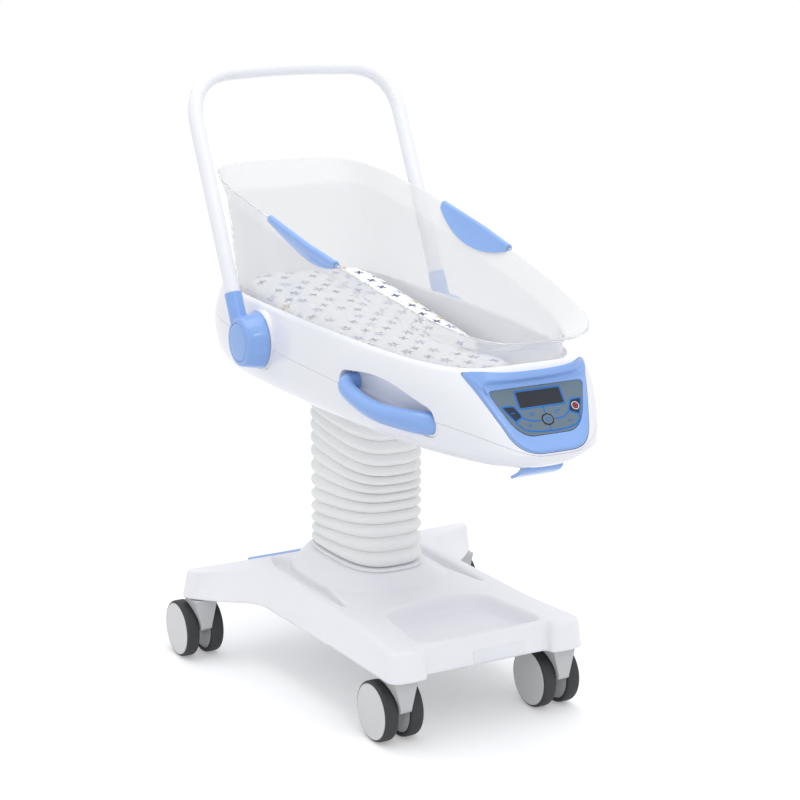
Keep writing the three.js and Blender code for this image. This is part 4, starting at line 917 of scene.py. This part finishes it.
def hull_section(z):
    bulge = (z - HULL_BELT) / (HULL_CREST - HULL_BELT)
    under = max(0.0, BILGE_TOP - z) / (BILGE_TOP - HULL_BOTTOM)
    tuck = BILGE_INSET * (1 - math.sqrt(max(0.0, 1 - under * under)))
    lean = math.tan(CONSOLE_RAKE) * (1 if z > CONSOLE_Z else -0.2)
    return (
        HULL_HALF - 13 * bulge * bulge - tuck,
        CONSOLE_Y + (z - CONSOLE_Z) * lean + tuck,
        HULL_REAR - 19 * bulge * bulge - tuck,
    )


def bow_power(z):
    """How square the hull's front half is at a height: round at the keel, square at the rim."""
    share = min(1.0, max(0.0, (z - HULL_BOTTOM) / (BOW_TOP - HULL_BOTTOM)))
    return BOW_POWER + (HULL_POWER - BOW_POWER) * share


def hull_ring(level, inset=0.0, count=160):
    """One ring of the hull. level(v, x) gives the height, v from -1 in front to 1, x from 0 to 1."""
    ring = []
    for i in range(count):
        across, along = square_point(i / count, HULL_POWER, HULL_POWER)
        z = level(along, abs(across))
        u, v = square_point(i / count, bow_power(z), HULL_POWER)
        half, front, rear = hull_section(z)
        x = (half - inset) * u * (1 + FRONT_TAPER * min(v, 0.0))
        ring.append((x, (front + rear) / 2 + ((rear - front) / 2 - inset) * v, z))
    return ring


def crest(v, x):
    return HULL_CREST + 6 * v


def parting(v, x):
    dip = PART_DIP * (1 - smoothstep(x, 0.15, 1)) if v < 0 else 0
    return PART_HEIGHT + PART_RISE * v - dip


def shifted(level, amount):
    return lambda v, x: level(v, x) + amount


def between(low, high, share):
    return lambda v, x: low(v, x) + (high(v, x) - low(v, x)) * share


def crest_level(lift):
    _, front, rear = hull_section(HULL_CREST)
    return lambda y: HULL_CREST + 6 * (2 * y - front - rear) / (rear - front) + lift


def upper_shell_mesh():
    count = 160
    edge = 7
    bottom = grown(TUB_FLOOR, 6)
    top = (151, -401, 371, 0.1, *TUB_POWERS)
    rolled = []
    for k in range(9):
        a = math.pi / 2 * k / 8
        rolled.append(hull_ring(shifted(crest, -edge * (1 - math.sin(a))), edge * (1 - math.cos(a))))
    tray_top, tray_low = plan_ring(top, crest_level(-3), count), plan_ring(bottom, tray_level(6), count)
    lip = [mix(rolled[-1], tray_top, share) for share in (0.35, 0.7)]
    curl = [mix(tray_top, tray_low, share) for share in (0.04, 0.5, 0.95)]
    return skin("upper_shell", [
        plan_ring(grown(bottom, WALL - 5), tray_level(-WALL), count), plan_ring(grown(bottom, WALL), tray_level(5 - WALL), count),
        plan_ring(grown(top, WALL), crest_level(-WALL - edge), count), hull_ring(shifted(crest, -WALL - edge), WALL),
        hull_ring(between(parting, crest, 0.4), WALL), hull_ring(shifted(parting, SEAT), WALL), hull_ring(shifted(parting, SEAT)),
        *[hull_ring(between(shifted(parting, SEAT), shifted(crest, -edge), k / 10)) for k in range(1, 10)],
        *rolled, *lip, tray_top, *curl, tray_low,
        plan_ring(grown(bottom, -2), tray_level(1.6), count), plan_ring(grown(bottom, -6), tray_level(0), count),
    ])


def lower_shell_mesh():
    def at_bilge(share, inset=0.0):
        return hull_ring(lambda v, x: HULL_BOTTOM + (min(BILGE_TOP - 10, parting(v, x) - 4) - HULL_BOTTOM) * share, inset)
    rise = [at_bilge(1 - math.cos(math.pi / 2 * k / 10)) for k in range(11)]
    sides = [hull_ring(between(lambda v, x: min(BILGE_TOP - 10, parting(v, x) - 4), parting, k / 5)) for k in range(1, 6)]
    inner = [hull_ring(parting, WALL), at_bilge(0.9, WALL), hull_ring(lambda v, x: HULL_BOTTOM + WALL, WALL + 2)]
    return skin("lower_shell", rise + sides + inner)


# %% Cutters for the deck
POCKET_FRONT, POCKET_REAR = -374, -128
POCKET_FOOT, POCKET_HEIGHT, POCKET_ARCH, POCKET_SLANT = 543, 40, 24, 20
POCKET_DEPTH, POCKET_WALL, POCKET_CORNER = 22, 4, 19
HUB_CENTRE = (152, 578)
BOSS_RADIUS, BOSS_FACE = 51, HULL_HALF + 2


def span(side, inner, outer):
    return (inner, outer) if side > 0 else (-outer, -inner)


def disc(radius, left, right, y, z, sides=96):
    return turned("disc", [(0, left), (radius, left), (radius, right), (0, right)], (0, y, z), sides)


def box_mesh(x0, x1, y0, y1, z0, z1):
    return skin("box", [[(x, y, z) for x, y in ((x0, y0), (x1, y0), (x1, y1), (x0, y1))] for z in (z0, z1)])


def hull_block(inset=0.0):
    """The hull without hollows."""
    levels = [482, 486, 492, 500, 508, 516, 530, 545, 560, 575, 590, 605, 617, 626]
    return skin("hull_block", [hull_ring(lambda v, x, z=z: z, inset) for z in levels])


def hull_side(y, z):
    """The X of the hull's side at a Y and a height."""
    half, front, rear = hull_section(z)
    v = (2 * y - front - rear) / (rear - front)
    power = bow_power(z) if v < 0 else HULL_POWER
    return half * (1 + FRONT_TAPER * min(v, 0.0)) * (1 - abs(v) ** power) ** (1 / power)


def grip_room(side, grow, depth):
    """Room for a grip in the hull's side: an arched oblong that drops towards the front, to an even depth."""
    front, rear, radius = POCKET_FRONT - grow, POCKET_REAR + grow, POCKET_CORNER + grow
    low, high = POCKET_FOOT - grow, POCKET_FOOT + POCKET_HEIGHT + grow
    outline = rounded([
        (front, low - POCKET_SLANT, radius), (rear, low, radius),
        (rear, high, radius), ((front + rear) / 2, high + POCKET_ARCH - POCKET_SLANT / 2, (rear - front) / 3),
        (front, high - POCKET_SLANT, radius),
    ], 10)
    room = cross_slab("room", outline, *span(side, HULL_HALF / 2, HULL_HALF + 40))
    return carve(room, ("DIFFERENCE", hull_block(depth)))


def on_console(u, v, w):
    """A point of the console's plane: u to the right, v up the slope, w outwards."""
    c, s = math.sin(CONSOLE_RAKE), math.cos(CONSOLE_RAKE)
    return (u, CONSOLE_Y + v * c - w * s, CONSOLE_Z + v * s + w * c)


def hull_front(x, z):
    half, front, rear = hull_section(z)
    share = min(1.0, abs(x) / (half * (1 - FRONT_TAPER)))
    power = bow_power(z)
    return (front + rear) / 2 - (rear - front) / 2 * (1 - share ** power) ** (1 / power)


BEZEL_FOOT, BEZEL_HEIGHT, BEZEL_EAR = 4, 135, 9
BEZEL_TOP_HALF, BEZEL_BOTTOM_HALF = 110, 60


def shield(grow, count=200):
    """The bezel's outline: narrow at the foot, with raised upper corners."""
    right = [
        (BEZEL_BOTTOM_HALF + grow, BEZEL_FOOT - grow, 34),
        (BEZEL_TOP_HALF + grow, BEZEL_HEIGHT + BEZEL_EAR + grow, 12), (45, BEZEL_HEIGHT + grow, 40),
    ]
    return spaced(rounded(both_sides(right), 14), count)


def panel_outline(grow, count=200):
    right = [(42 + grow, 34 - grow, 14), (62 + grow, 53, 20), (85 + grow, 113 + grow, 10)]
    return spaced(rounded(both_sides(right), 14), count)


def console_ring(outline, depth):
    return [on_console(u, v, depth(u, v)) for u, v in outline]


def surface_ring(outline, raised):
    """An outline laid back on the hull's rounded front, each point raised from the surface."""
    ring = []
    for u, v in outline:
        z = on_console(u, v, 0)[2]
        behind = hull_front(u, z) - hull_front(0, z)
        along, out = v + behind * math.sin(CONSOLE_RAKE), raised(u, v) - behind * math.cos(CONSOLE_RAKE)
        ring.append(on_console(u, along, out))
    return ring


def window_cutter():
    return skin("window", [surface_ring(shield(0.8), lambda u, v, w=w: w) for w in (-8.5, 60)])


def hollow_hull(mesh, lining):
    """Pockets, bosses and the console window for one shell."""
    steps = [("DIFFERENCE", window_cutter())]
    for side in (-1, 1):
        if lining:
            wall = carve(
                hull_block(WALL / 3), ("INTERSECT", grip_room(side, POCKET_WALL, POCKET_DEPTH + POCKET_WALL)),
            )
            steps.append(("UNION", wall))
            steps.append(("DIFFERENCE", grip_room(side, 0, POCKET_DEPTH)))
            steps.append(("UNION", disc(BOSS_RADIUS, *span(side, HULL_HALF - 18, BOSS_FACE), *HUB_CENTRE)))
            steps.append(("DIFFERENCE", disc(15, *span(side, BOSS_FACE - 14, BOSS_FACE + 5), *HUB_CENTRE, 32)))
        else:
            notch = POCKET_WALL + SEAT
            ring = disc(BOSS_RADIUS + SEAT, *span(side, HULL_HALF - 18, BOSS_FACE + SEAT), *HUB_CENTRE)
            steps.append(("DIFFERENCE", grip_room(side, notch, POCKET_DEPTH + notch)))
            steps.append(("DIFFERENCE", ring))
    return carve(mesh, *steps)


# %% Shells
piece("deck_upper", hollow_hull(upper_shell_mesh(), True), WHITE, "deck", ["upper_shell"], sharp=38)
LEVER_Y, LEVER_Z, LEVER_HALF = -447, 500, 37
lower_mesh = carve(
    hollow_hull(lower_shell_mesh(), False),
    ("DIFFERENCE", slab("opening", rounded([(-52, 22, 12), (52, 22, 12), (52, 178, 12), (-52, 178, 12)]), 470, 490)),
    ("DIFFERENCE", box_mesh(-LEVER_HALF - 1, LEVER_HALF + 1, LEVER_Y - 26, LEVER_Y + 22, 470, LEVER_Z + 6)),
)
piece("deck_lower", lower_mesh, WHITE, "deck", ["lower_shell"], sharp=38)


# %% [markdown]
# ## Console
# A blue bezel sits flush in the raked front and swells to a hood above the panel. Inside it lies a grey foil
# with a dark window, three keys and printed blue lines. The prints are thin ribbons a tenth of a millimetre
# above the foil. Signs are plain arrows and bars.

# %% Bezel and panel
PANEL_SINK = 2.0


def bezel_mesh():
    def hood(u, v):
        rise = smoothstep(v, BEZEL_HEIGHT - 22, BEZEL_HEIGHT - 6)
        return 2.2 + 9 * rise * (1 - 0.6 * smoothstep(abs(u), BEZEL_TOP_HALF - 32, BEZEL_TOP_HALF))

    def at(share):
        a = math.pi / 2 * share
        return surface_ring(shield(-2 * math.sin(a)), lambda u, v: hood(u, v) * (1 - math.cos(a)))

    def towards_panel(share, push):
        """A ring part of the way from the hood to the panel, pushed out where the hood is high."""
        ring = []
        for p, q, (u, v) in zip(inner, edge, shield(-7)):
            lift = Vector(on_console(0, 0, push * (hood(u, v) - 2.2))) - Vector(on_console(0, 0, 0))
            ring.append(tuple(Vector(p).lerp(Vector(q), share) + lift))
        return ring

    inner = surface_ring(shield(-7), hood)
    edge = console_ring(panel_outline(3), lambda u, v: 0.6 - PANEL_SINK)
    return skin("bezel", [
        surface_ring(shield(-2), lambda u, v: -7.5), surface_ring(shield(0), lambda u, v: -4.5),
        *[at(k / 6) for k in range(7)], surface_ring(shield(-4.5), lambda u, v: hood(u, v) + 0.5), inner,
        towards_panel(0.3, 0.3), towards_panel(0.45, 0.42), towards_panel(0.52, 0.3), towards_panel(0.6, -0.1),
        towards_panel(0.66, -0.3), edge,
        console_ring(panel_outline(1.2), lambda u, v: 0.3 - PANEL_SINK),
        console_ring(panel_outline(0.6), lambda u, v: -0.4 - PANEL_SINK),
        console_ring(panel_outline(0.6), lambda u, v: -5.1),
    ])


piece("bezel", bezel_mesh(), BLUE, "deck", ["front_bezel"], sharp=50)


def ribbon(name, path, width, lift, material, body, closed=False):
    """A printed line of a width along points of the console's plane."""
    points = [Vector(p) for p in path]
    rings = []
    count = len(points)
    for i, p in enumerate(points):
        before = points[i - 1] if closed or i else p
        after = points[(i + 1) % count] if closed or i < count - 1 else p
        ahead = (after - before).normalized()
        across = Vector((-ahead.y, ahead.x)) * width / 2
        rings.append([on_console(*(p + across), lift), on_console(*(p - across), lift),
                      on_console(*(p - across), lift - 0.1), on_console(*(p + across), lift - 0.1)])
    return piece(name, skin(name, rings, closed=closed), material, body)


DISPLAY_BOX = (-38.5, 38.5, 80.5, 105.5)
LEFT_KEY = [(-68, 84, 3), (-50, 83, 3), (-42, 67, 3), (-54, 61, 3)]
RIGHT_KEY = [(69, 83, 3), (52, 82, 3), (44, 67, 3), (58, 60, 3)]
CENTRE_KEY = (1, 57)
PRINT = -PANEL_SINK + 0.15


def outline_grown(corners, amount):
    middle = sum((Vector(c[:2]) for c in corners), Vector((0, 0))) / len(corners)
    result = []
    for x, y, r in corners:
        arm = Vector((x, y)) - middle
        x, y = Vector((x, y)) + arm.normalized() * amount
        result.append((x, y, r + amount * 0.5))
    return rounded(result, 5)


def oval(radius_u, radius_v, centre, count=48):
    return [(centre[0] + radius_u * math.cos(2 * math.pi * k / count), centre[1] + radius_v * math.sin(2 * math.pi * k / count))
            for k in range(count)]


def flat_points(points, steps=8):
    return [p[:2] for p in smooth_path([(*p, 0) for p in points], steps)]


x0, x1, y0, y1 = DISPLAY_BOX
LEFT_ARC = [(-41, 65.5), (-36.5, 62), (-29, 58.5), (-20.5, 57), (-12.5, 56.4)]
RIGHT_ARC = [(14.5, 56.6), (22.6, 56.8), (30, 58), (37, 61.6), (43, 65.8)]
LOWER_ARC = [
    (-54, 59), (-50, 52.5), (-42, 44.5), (-24.4, 40.4), (-0.8, 38.4), (17.5, 38.6), (36.4, 40.4), (49.6, 45),
    (56, 51), (59, 58),
]
panel_prints = {
    "print_display": (rounded(
        [(x0 - 2, y0 - 2, 3), (x1 + 2, y0 - 2, 3), (x1 + 2, y1 + 2, 3), (x0 - 2, y1 + 2, 3)], 5), True),
    "print_left_key": (outline_grown(LEFT_KEY, 2.2), True),
    "print_right_key": (outline_grown(RIGHT_KEY, 2.2), True),
    "print_left_arc": (flat_points(LEFT_ARC), False),
    "print_right_arc": (flat_points(RIGHT_ARC), False),
    "print_lower_arc": (flat_points(LOWER_ARC), False),
    "print_upper_tick": ([(0.5, 78), (0.5, 69)], False),
    "print_lower_tick": ([(0.5, 45), (0.5, 39)], False),
}
for name, (path, closed) in panel_prints.items():
    ribbon(name, path, 2.1, PRINT, LINES, "deck", closed)
signs = {
    "sign_left_bars": [[(-27, 70), (-18, 70)], [(-27, 66.5), (-21, 66.5)]],
    "sign_right_bars": [[(17, 69.5), (28, 69.5)], [(17, 66), (22, 66)]],
    "sign_down": [[(-36.5, 52.5), (-33, 49), (-29.5, 52.5)]],
    "sign_up": [[(34.5, 48.5), (38, 52), (41.5, 48.5)]],
}
for name, lines in signs.items():
    for k, path in enumerate(lines):
        ribbon(f"{name}_{k}", path, 1.3, PRINT, LINES, "deck")
key_top = -PANEL_SINK + 0.4
cu, cv = CENTRE_KEY
face = piece(
    "centre_key_face", skin("face", [[on_console(u, v, w) for u, v in oval(8.4, 7.4, CENTRE_KEY)]
                                     for w in (key_top + 0.02, key_top + 0.12)]),
    PANEL, "centre_key",
)
for k, lift in enumerate((2.4, -2.4)):
    path = [(cu - 4, cv + lift * 0.4), (cu, cv + lift * 1.4), (cu + 4, cv + lift * 0.4)]
    ribbon(f"sign_centre_{k}", path, 1.4, key_top + 0.25, LINES, "centre_key")
ribbon("sign_left_bar", [(-58.5, 73.5), (-51.5, 73.5)], 1.4, key_top + 0.15, LINES, "left_key")
ribbon("sign_right_ring", oval(6, 6, (56, 72.5), 32), 1.3, key_top + 0.15, PALE_INK, "right_key", True)
ribbon("sign_right_core", oval(2.6, 2.6, (56, 72.5), 24), 2.2, key_top + 0.15, SIGNAL, "right_key", True)
print("printed lines", len(panel_prints))


# %% [markdown]
# ## Side grips, handle and hubs
# Each side grip is a bowed bar that springs out of its pocket. The push handle is one bent tube in two hubs.
# A hub is a turned cone with a sleeve for the tube, and a round button in its face.

# %% Side grips
def side_grip_mesh(side):
    run = POCKET_REAR - POCKET_FRONT
    middle = (POCKET_FRONT + POCKET_REAR) / 2
    steps = [
        (POCKET_REAR - 18, -34, 4), (POCKET_REAR - 19, -6, 3), (POCKET_REAR - 44, 7, -4), (middle, 14, -10),
        (POCKET_FRONT + 44, 3, -6), (POCKET_FRONT + 17, -14, -4), (POCKET_FRONT + 15, -40, -4),
    ]
    points = []
    for y, standoff, rise in steps:
        z = POCKET_FOOT + POCKET_HEIGHT / 2 - POCKET_SLANT * (POCKET_REAR - y) / run + rise
        points.append((side * (hull_side(y, z) + standoff), y, z))
    grip = bar(f"side_grip_{side}", smooth_path(points, 14), lambda t: 14 + 4 * smoothstep(t, 0.4, 0.75), 36)
    return carve(grip, ("DIFFERENCE", hull_block(POCKET_DEPTH - SEAT)))


for word, side in (("left", -1), ("right", 1)):
    piece(f"bowed_grip_{word}", side_grip_mesh(side), BLUE, "deck", [f"side_grip_{word}"], sharp=60)


# %% Handle
HANDLE_LEAN = math.radians(26)
HANDLE_X = BOSS_FACE + 24
SLEEVE_OFFSET, SLEEVE_END = 9, 88


def in_handle(x, y, z):
    """A point of the handle's own frame, which leans back on the hubs' axis."""
    c, s = math.cos(HANDLE_LEAN), math.sin(HANDLE_LEAN)
    return (x, HUB_CENTRE[0] + y * c + z * s, HUB_CENTRE[1] - y * s + z * c)


def handle_mesh():
    reach, bend, bow = 484, 96, 6
    def curve(a, b, c, steps):
        return [tuple((1 - t) ** 2 * p + 2 * t * (1 - t) * q + t * t * r for p, q, r in zip(a, b, c))
                for t in [k / steps for k in range(steps)]]
    foot, turn, corner = SLEEVE_END - 33.7, reach - bend, HANDLE_X - bend
    leg = [(-HANDLE_X, foot + (turn - foot) * k / 10) for k in range(10)]
    half = leg + curve((-HANDLE_X, turn), (-HANDLE_X, reach), (-corner, reach), 24) + curve((-corner, reach), (0, reach + bow), (corner, reach), 24)
    other = curve((corner, reach), (HANDLE_X, reach), (HANDLE_X, turn), 24)
    path = half + other + [(-x, z) for x, z in reversed(leg)]
    return bar("handle", [in_handle(x, SLEEVE_OFFSET, z) for x, z in path], 13, 36)


piece("push_handle", handle_mesh(), LACQUER, "handle", ["handle_tube"], sharp=60)


def spun_in_handle(name, profile, side, sides=96):
    rings = []
    for radius, along in profile:
        radius = max(radius, 1e-4)
        rings.append([
            in_handle(side * along, radius * math.cos(2 * math.pi * k / sides), radius * math.sin(2 * math.pi * k / sides))
            for k in range(sides)
        ])
    return skin(name, rings)


def upright(name, radius, low, high, side, sides=48):
    """A round post of the handle's frame under one leg."""
    return skin(name, [
        [in_handle(side * HANDLE_X + radius * math.cos(2 * math.pi * k / sides),
                   SLEEVE_OFFSET + radius * math.sin(2 * math.pi * k / sides), z) for k in range(sides)]
        for z in (low, high)
    ])


def hub_meshes(side):
    face, outer = BOSS_FACE + 0.4, BOSS_FACE + 38.4
    drum = spun_in_handle("drum", [
        (0, face - 12), (14, face - 12), (14, face), (47, face), (48, face + 1), (48, face + 5), (47.4, face + 7.5),
        (42.2, outer - 4.5), (40.6, outer - 1.6), (38, outer - 0.2), (36, outer), (0, outer),
    ], side)
    hub = carve(
        drum, ("UNION", upright("sleeve", 15, 0, SLEEVE_END, side)),
        ("DIFFERENCE", upright("bore", 13.3, SLEEVE_END - 34, SLEEVE_END + 5, side)),
        ("DIFFERENCE", spun_in_handle("seat", [(0, outer - 11), (33.4, outer - 11), (33.4, outer + 5), (0, outer + 5)], side)),
    )
    button = spun_in_handle("button", [
        (0, outer - 7), (33, outer - 7), (33, outer - 0.9), (32.6, outer - 0.1), (31.6, outer + 0.5), (26, outer + 0.8), (0, outer + 1),
    ], side)
    return hub, button


for word, side in (("left", -1), ("right", 1)):
    hub, button = hub_meshes(side)
    piece(f"hub_{word}", hub, BLUE, "handle", [f"handle_hub_{word}"], sharp=32)
    piece(f"button_{word}_cap", button, BLUE, f"button_{word}", [f"hub_button_{word}"], sharp=50)


# %% [markdown]
# ## Tilt lever
# A curved paddle under the console. It is one section drawn across its width, with round ends.

# %% Tilt lever
def lever_mesh():
    y, z = LEVER_Y, LEVER_Z
    section = rounded([
        (y - 7, z - 4, 5), (y - 12, z - 16, 8), (y - 6, z - 30, 14), (y + 20, z - 43, 4), (y + 23, z - 39, 2),
        (y - 1, z - 26, 14), (y - 7, z - 14, 8), (y + 7, z - 4, 5), (y + 7, z + 7, 6), (y - 7, z + 7, 6),
    ], 10)
    return carve(
        cross_slab("lever", section, -LEVER_HALF, LEVER_HALF),
        ("DIFFERENCE", disc(3.4, -60, 60, y, z, 24)),
    )


piece("tilt_paddle", lever_mesh(), BLUE, "lever", ["tilt_lever"], sharp=40)


# %% [markdown]
# ## Base cover
# The cover is one thick moulding with soft edges everywhere: a tray in front, a pedestal that swells up round
# the bellows, a slot at each side, and legs that splay to the rear casters. The plain forms are joined and
# carved, then remeshed and smoothed, so that every corner gets the same small radius, as in a real mould.

# %% Base cover
FOOT_OUTLINE = [
    (115, -303, 8), (115, -321, 18), (184, -321, 28), (182, -200, 60), (195, 134, 30), (256, 178, 50), (296, 226, 22),
    (288, 250, 18), (150, 246, 20),
]
TOP_OUTLINE = [
    (118, -299, 8), (118, -317, 18), (181, -317, 28), (164, -200, 60), (162, 160, 30), (228, 194, 50), (287, 222, 14),
    (284, 238, 10), (150, 232, 20),
]
RECESS = [(119, -289, 22), (97, -134, 30), (0, -112, 60), (-97, -134, 30), (-119, -289, 22)]
SIDE_SLOT = [(137, -104, 6), (143, 178, 40), (120, 236, 18), (88, 170, 60)]


def inset(corners, amount):
    """Corners moved inwards along the bisector of their two edges."""
    area = sum(a[0] * b[1] - b[0] * a[1] for a, b in zip(corners, corners[1:] + corners[:1]))
    turn = 1 if area > 0 else -1
    result = []
    for i, (x, y, r) in enumerate(corners):
        before, after = Vector(corners[i - 1][:2]), Vector(corners[(i + 1) % len(corners)][:2])
        here = Vector((x, y))
        first, second = [Vector((a.y - b.y, b.x - a.x)).normalized() * turn for a, b in ((before, here), (here, after))]
        middle = (first + second).normalized()
        moved = here + middle * amount / max(0.35, middle.dot(first))
        result.append((moved.x, moved.y, r))
    return result


def level_stack(name, levels):
    """A form through outlines at several heights: (corners, height) from below."""
    return skin(name, [[(x, y, z) for x, y in rounded(corners, 8)] for corners, z in levels])


def hollow(corners, floor):
    return level_stack("hollow", [
        (inset(corners, 9), floor), (inset(corners, 5.4), floor + 3), (corners, 165.5), (inset(corners, -1), 195),
    ])


def base_mesh():
    foot, top = both_sides(FOOT_OUTLINE), both_sides(TOP_OUTLINE)
    body = level_stack("body", [(foot, 113), (top, 159), (inset(top, 1.5), 163), (inset(top, 6), 165)])
    skirt = (118, -52, 228, 0.0, 3, 3)
    pedestal = skin("pedestal", [
        plan_ring(skirt, 143), plan_ring(skirt, 163), plan_ring((88, -34, 227, 0.0, 3, 3), 182), plan_ring((79, -29, 224, 0.0, 3, 3), 188),
    ])
    steps = [("DIFFERENCE", hollow([(s * x, y, r) for x, y, r in SIDE_SLOT], 147)) for s in (-1, 1)]
    steps.append(("UNION", pedestal))
    steps.append(("DIFFERENCE", hollow(RECESS, 138)))
    steps.append(("DIFFERENCE", slab("well", rounded([(-50.4, 29.6, 14), (50.4, 29.6, 14), (50.4, 170.4, 14), (-50.4, 170.4, 14)]), 100, 220)))
    steps.append(("DIFFERENCE", level_stack("underside", [(inset(foot, 9), 105), (inset(foot, 9), 123)])))
    for x, y in ((149, -286), (-149, -286), (263, 220), (-263, 220)):
        ring = [(x + u, y + v) for u, v in oval(9, 9, (0, 0), 32)]
        steps.append(("DIFFERENCE", slab("socket", ring, 100, 131)))
    steps.append(("DIFFERENCE", box_mesh(-20, 20, 207, 272, 125, 156)))
    solid = carve(body, *steps)
    holder = bpy.data.objects.new("cover", solid)
    scene.collection.objects.link(holder)
    remesh = holder.modifiers.new("remesh", "REMESH")
    remesh.mode = "VOXEL"
    remesh.voxel_size = 0.0028
    soften = holder.modifiers.new("soften", "SMOOTH")
    soften.factor = 0.5
    soften.iterations = 7
    mesh = settled(holder).copy()
    bpy.data.objects.remove(holder)
    return mesh


base = piece("base_moulding", base_mesh(), BASE_WHITE, "base", ["base_cover"], sharp=180)
print("base", len(base.data.polygons), "faces")


# %% Bare plate on the base's front
def badge_mesh():
    outline = rounded([(-24, 117, 4), (74, 117, 4), (74, 138, 4), (-24, 138, 4)], 6)
    rings = []
    for depth, amount in ((0.2, 0.0), (-0.5, 0.0), (-0.8, 0.4)):
        ring = []
        for x, z in outline:
            front = -303 + (z - 113) / 46 * 4
            ring.append((x + (25 - x) * amount / 49, front + depth, z + (127.5 - z) * amount / 10))
        rings.append(ring)
    return skin("badge", rings)


piece("bare_plate", badge_mesh(), WHITE, "base")


# %% [markdown]
# ## Casters
# Twin wheels on each fork: a dark tyre with a rounded tread, and a plastic disc with a fine raised rim. One
# tyre and one disc are turned, and every wheel uses the same two meshes.

# %% Wheels
WHEEL_RADIUS, RIM_RADIUS, WHEEL_IN, WHEEL_OUT = 50, 43, 11, 35
TYRE_PROFILE = [
    (43.3, 11), (46, 11), (48.4, 12.2), (49.6, 14.4), (50, 17), (50, 29), (49.6, 31.4), (48.6, 33.4), (47.2, 34.6),
    (45.9, 35), (45.9, 33), (43.3, 33), (43.3, 11),
]
DISC_PROFILE = [
    (5.4, 11.6), (20, 12), (42, 13.4), (43, 15), (43, 33.2), (45.6, 33.2), (45.6, 34.9), (45.2, 35.4), (44.2, 35.6),
    (43.4, 35.4), (43, 35), (30, 35), (0, 35.1), (0, 30), (5.4, 30), (5.4, 11.6),
]


def wheel_mesh(name, profile, sides=96):
    """A ring-shaped turning about X, centred on the axle."""
    mesh = bpy.data.meshes.new(name)
    points = []
    for radius, along in profile[:-1]:
        radius = max(radius, 1e-3)
        points += [
            (along * MM, radius * MM * math.cos(2 * math.pi * k / sides), radius * MM * math.sin(2 * math.pi * k / sides))
            for k in range(sides)
        ]
    count = len(profile) - 1
    faces = []
    for r in range(count):
        low, high = r * sides, ((r + 1) % count) * sides
        faces += [(low + k, low + (k + 1) % sides, high + (k + 1) % sides, high + k) for k in range(sides)]
    mesh.from_pydata(points, [], faces)
    tidy(mesh)
    return mesh


tyre_mesh, disc_mesh = wheel_mesh("tyre", TYRE_PROFILE), wheel_mesh("wheel_disc", DISC_PROFILE)
STEMS = {"front_left": (-149, -286), "front_right": (149, -286), "rear_left": (-263, 220), "rear_right": (263, 220)}
for place_name, (x, y) in STEMS.items():
    for word, turn in (("right", 0.0), ("left", math.pi)):
        for part, mesh, material, slot in (("tyre", tyre_mesh, TYRE, "caster_tyre"), ("disc", disc_mesh, DISC, "caster_disc")):
            wheel = piece(f"{part}_{place_name}_{word}", mesh, material, None, [f"caster_{place_name}_{part}_{word}"], 30)
            wheel.location = row(x, y + 33, WHEEL_RADIUS)
            wheel.rotation_euler = (0, 0, turn)
            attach(wheel, f"wheel_{place_name}_{word}")
print("wheels", 2 * len(STEMS))


# %% [markdown]
# ## Finishes of the solids that stay
# Forks, axles, pins, the column and the keys are right as they are. They get the finishes above, and smooth
# shading where their faces are meant to be round.

# %% Finishes by slot
SLOT_FINISH = {
    "white_plastic": WHITE, "base_plastic": BASE_WHITE, "blue_plastic": BLUE, "panel_foil": PANEL, "display_window": DISPLAY,
    "key_foil": KEY, "steel": STEEL, "lacquered_steel": LACQUER, "caster_tyre": TYRE, "caster_disc": DISC, "caster_fork": FORK,
    "bellows_rubber": RUBBER, "cotton": COTTON, "clear_acrylic": ACRYLIC,
}
for part in frame["record"]["subparts"]:
    solid = frame["nodes"][part["node"]]
    solid.data.materials.clear()
    solid.data.materials.append(SLOT_FINISH[part["material_slot"]])
    solid.data.polygons.foreach_set("use_smooth", [True] * len(solid.data.polygons))
    solid.data.set_sharp_from_angle(angle=math.radians(30))
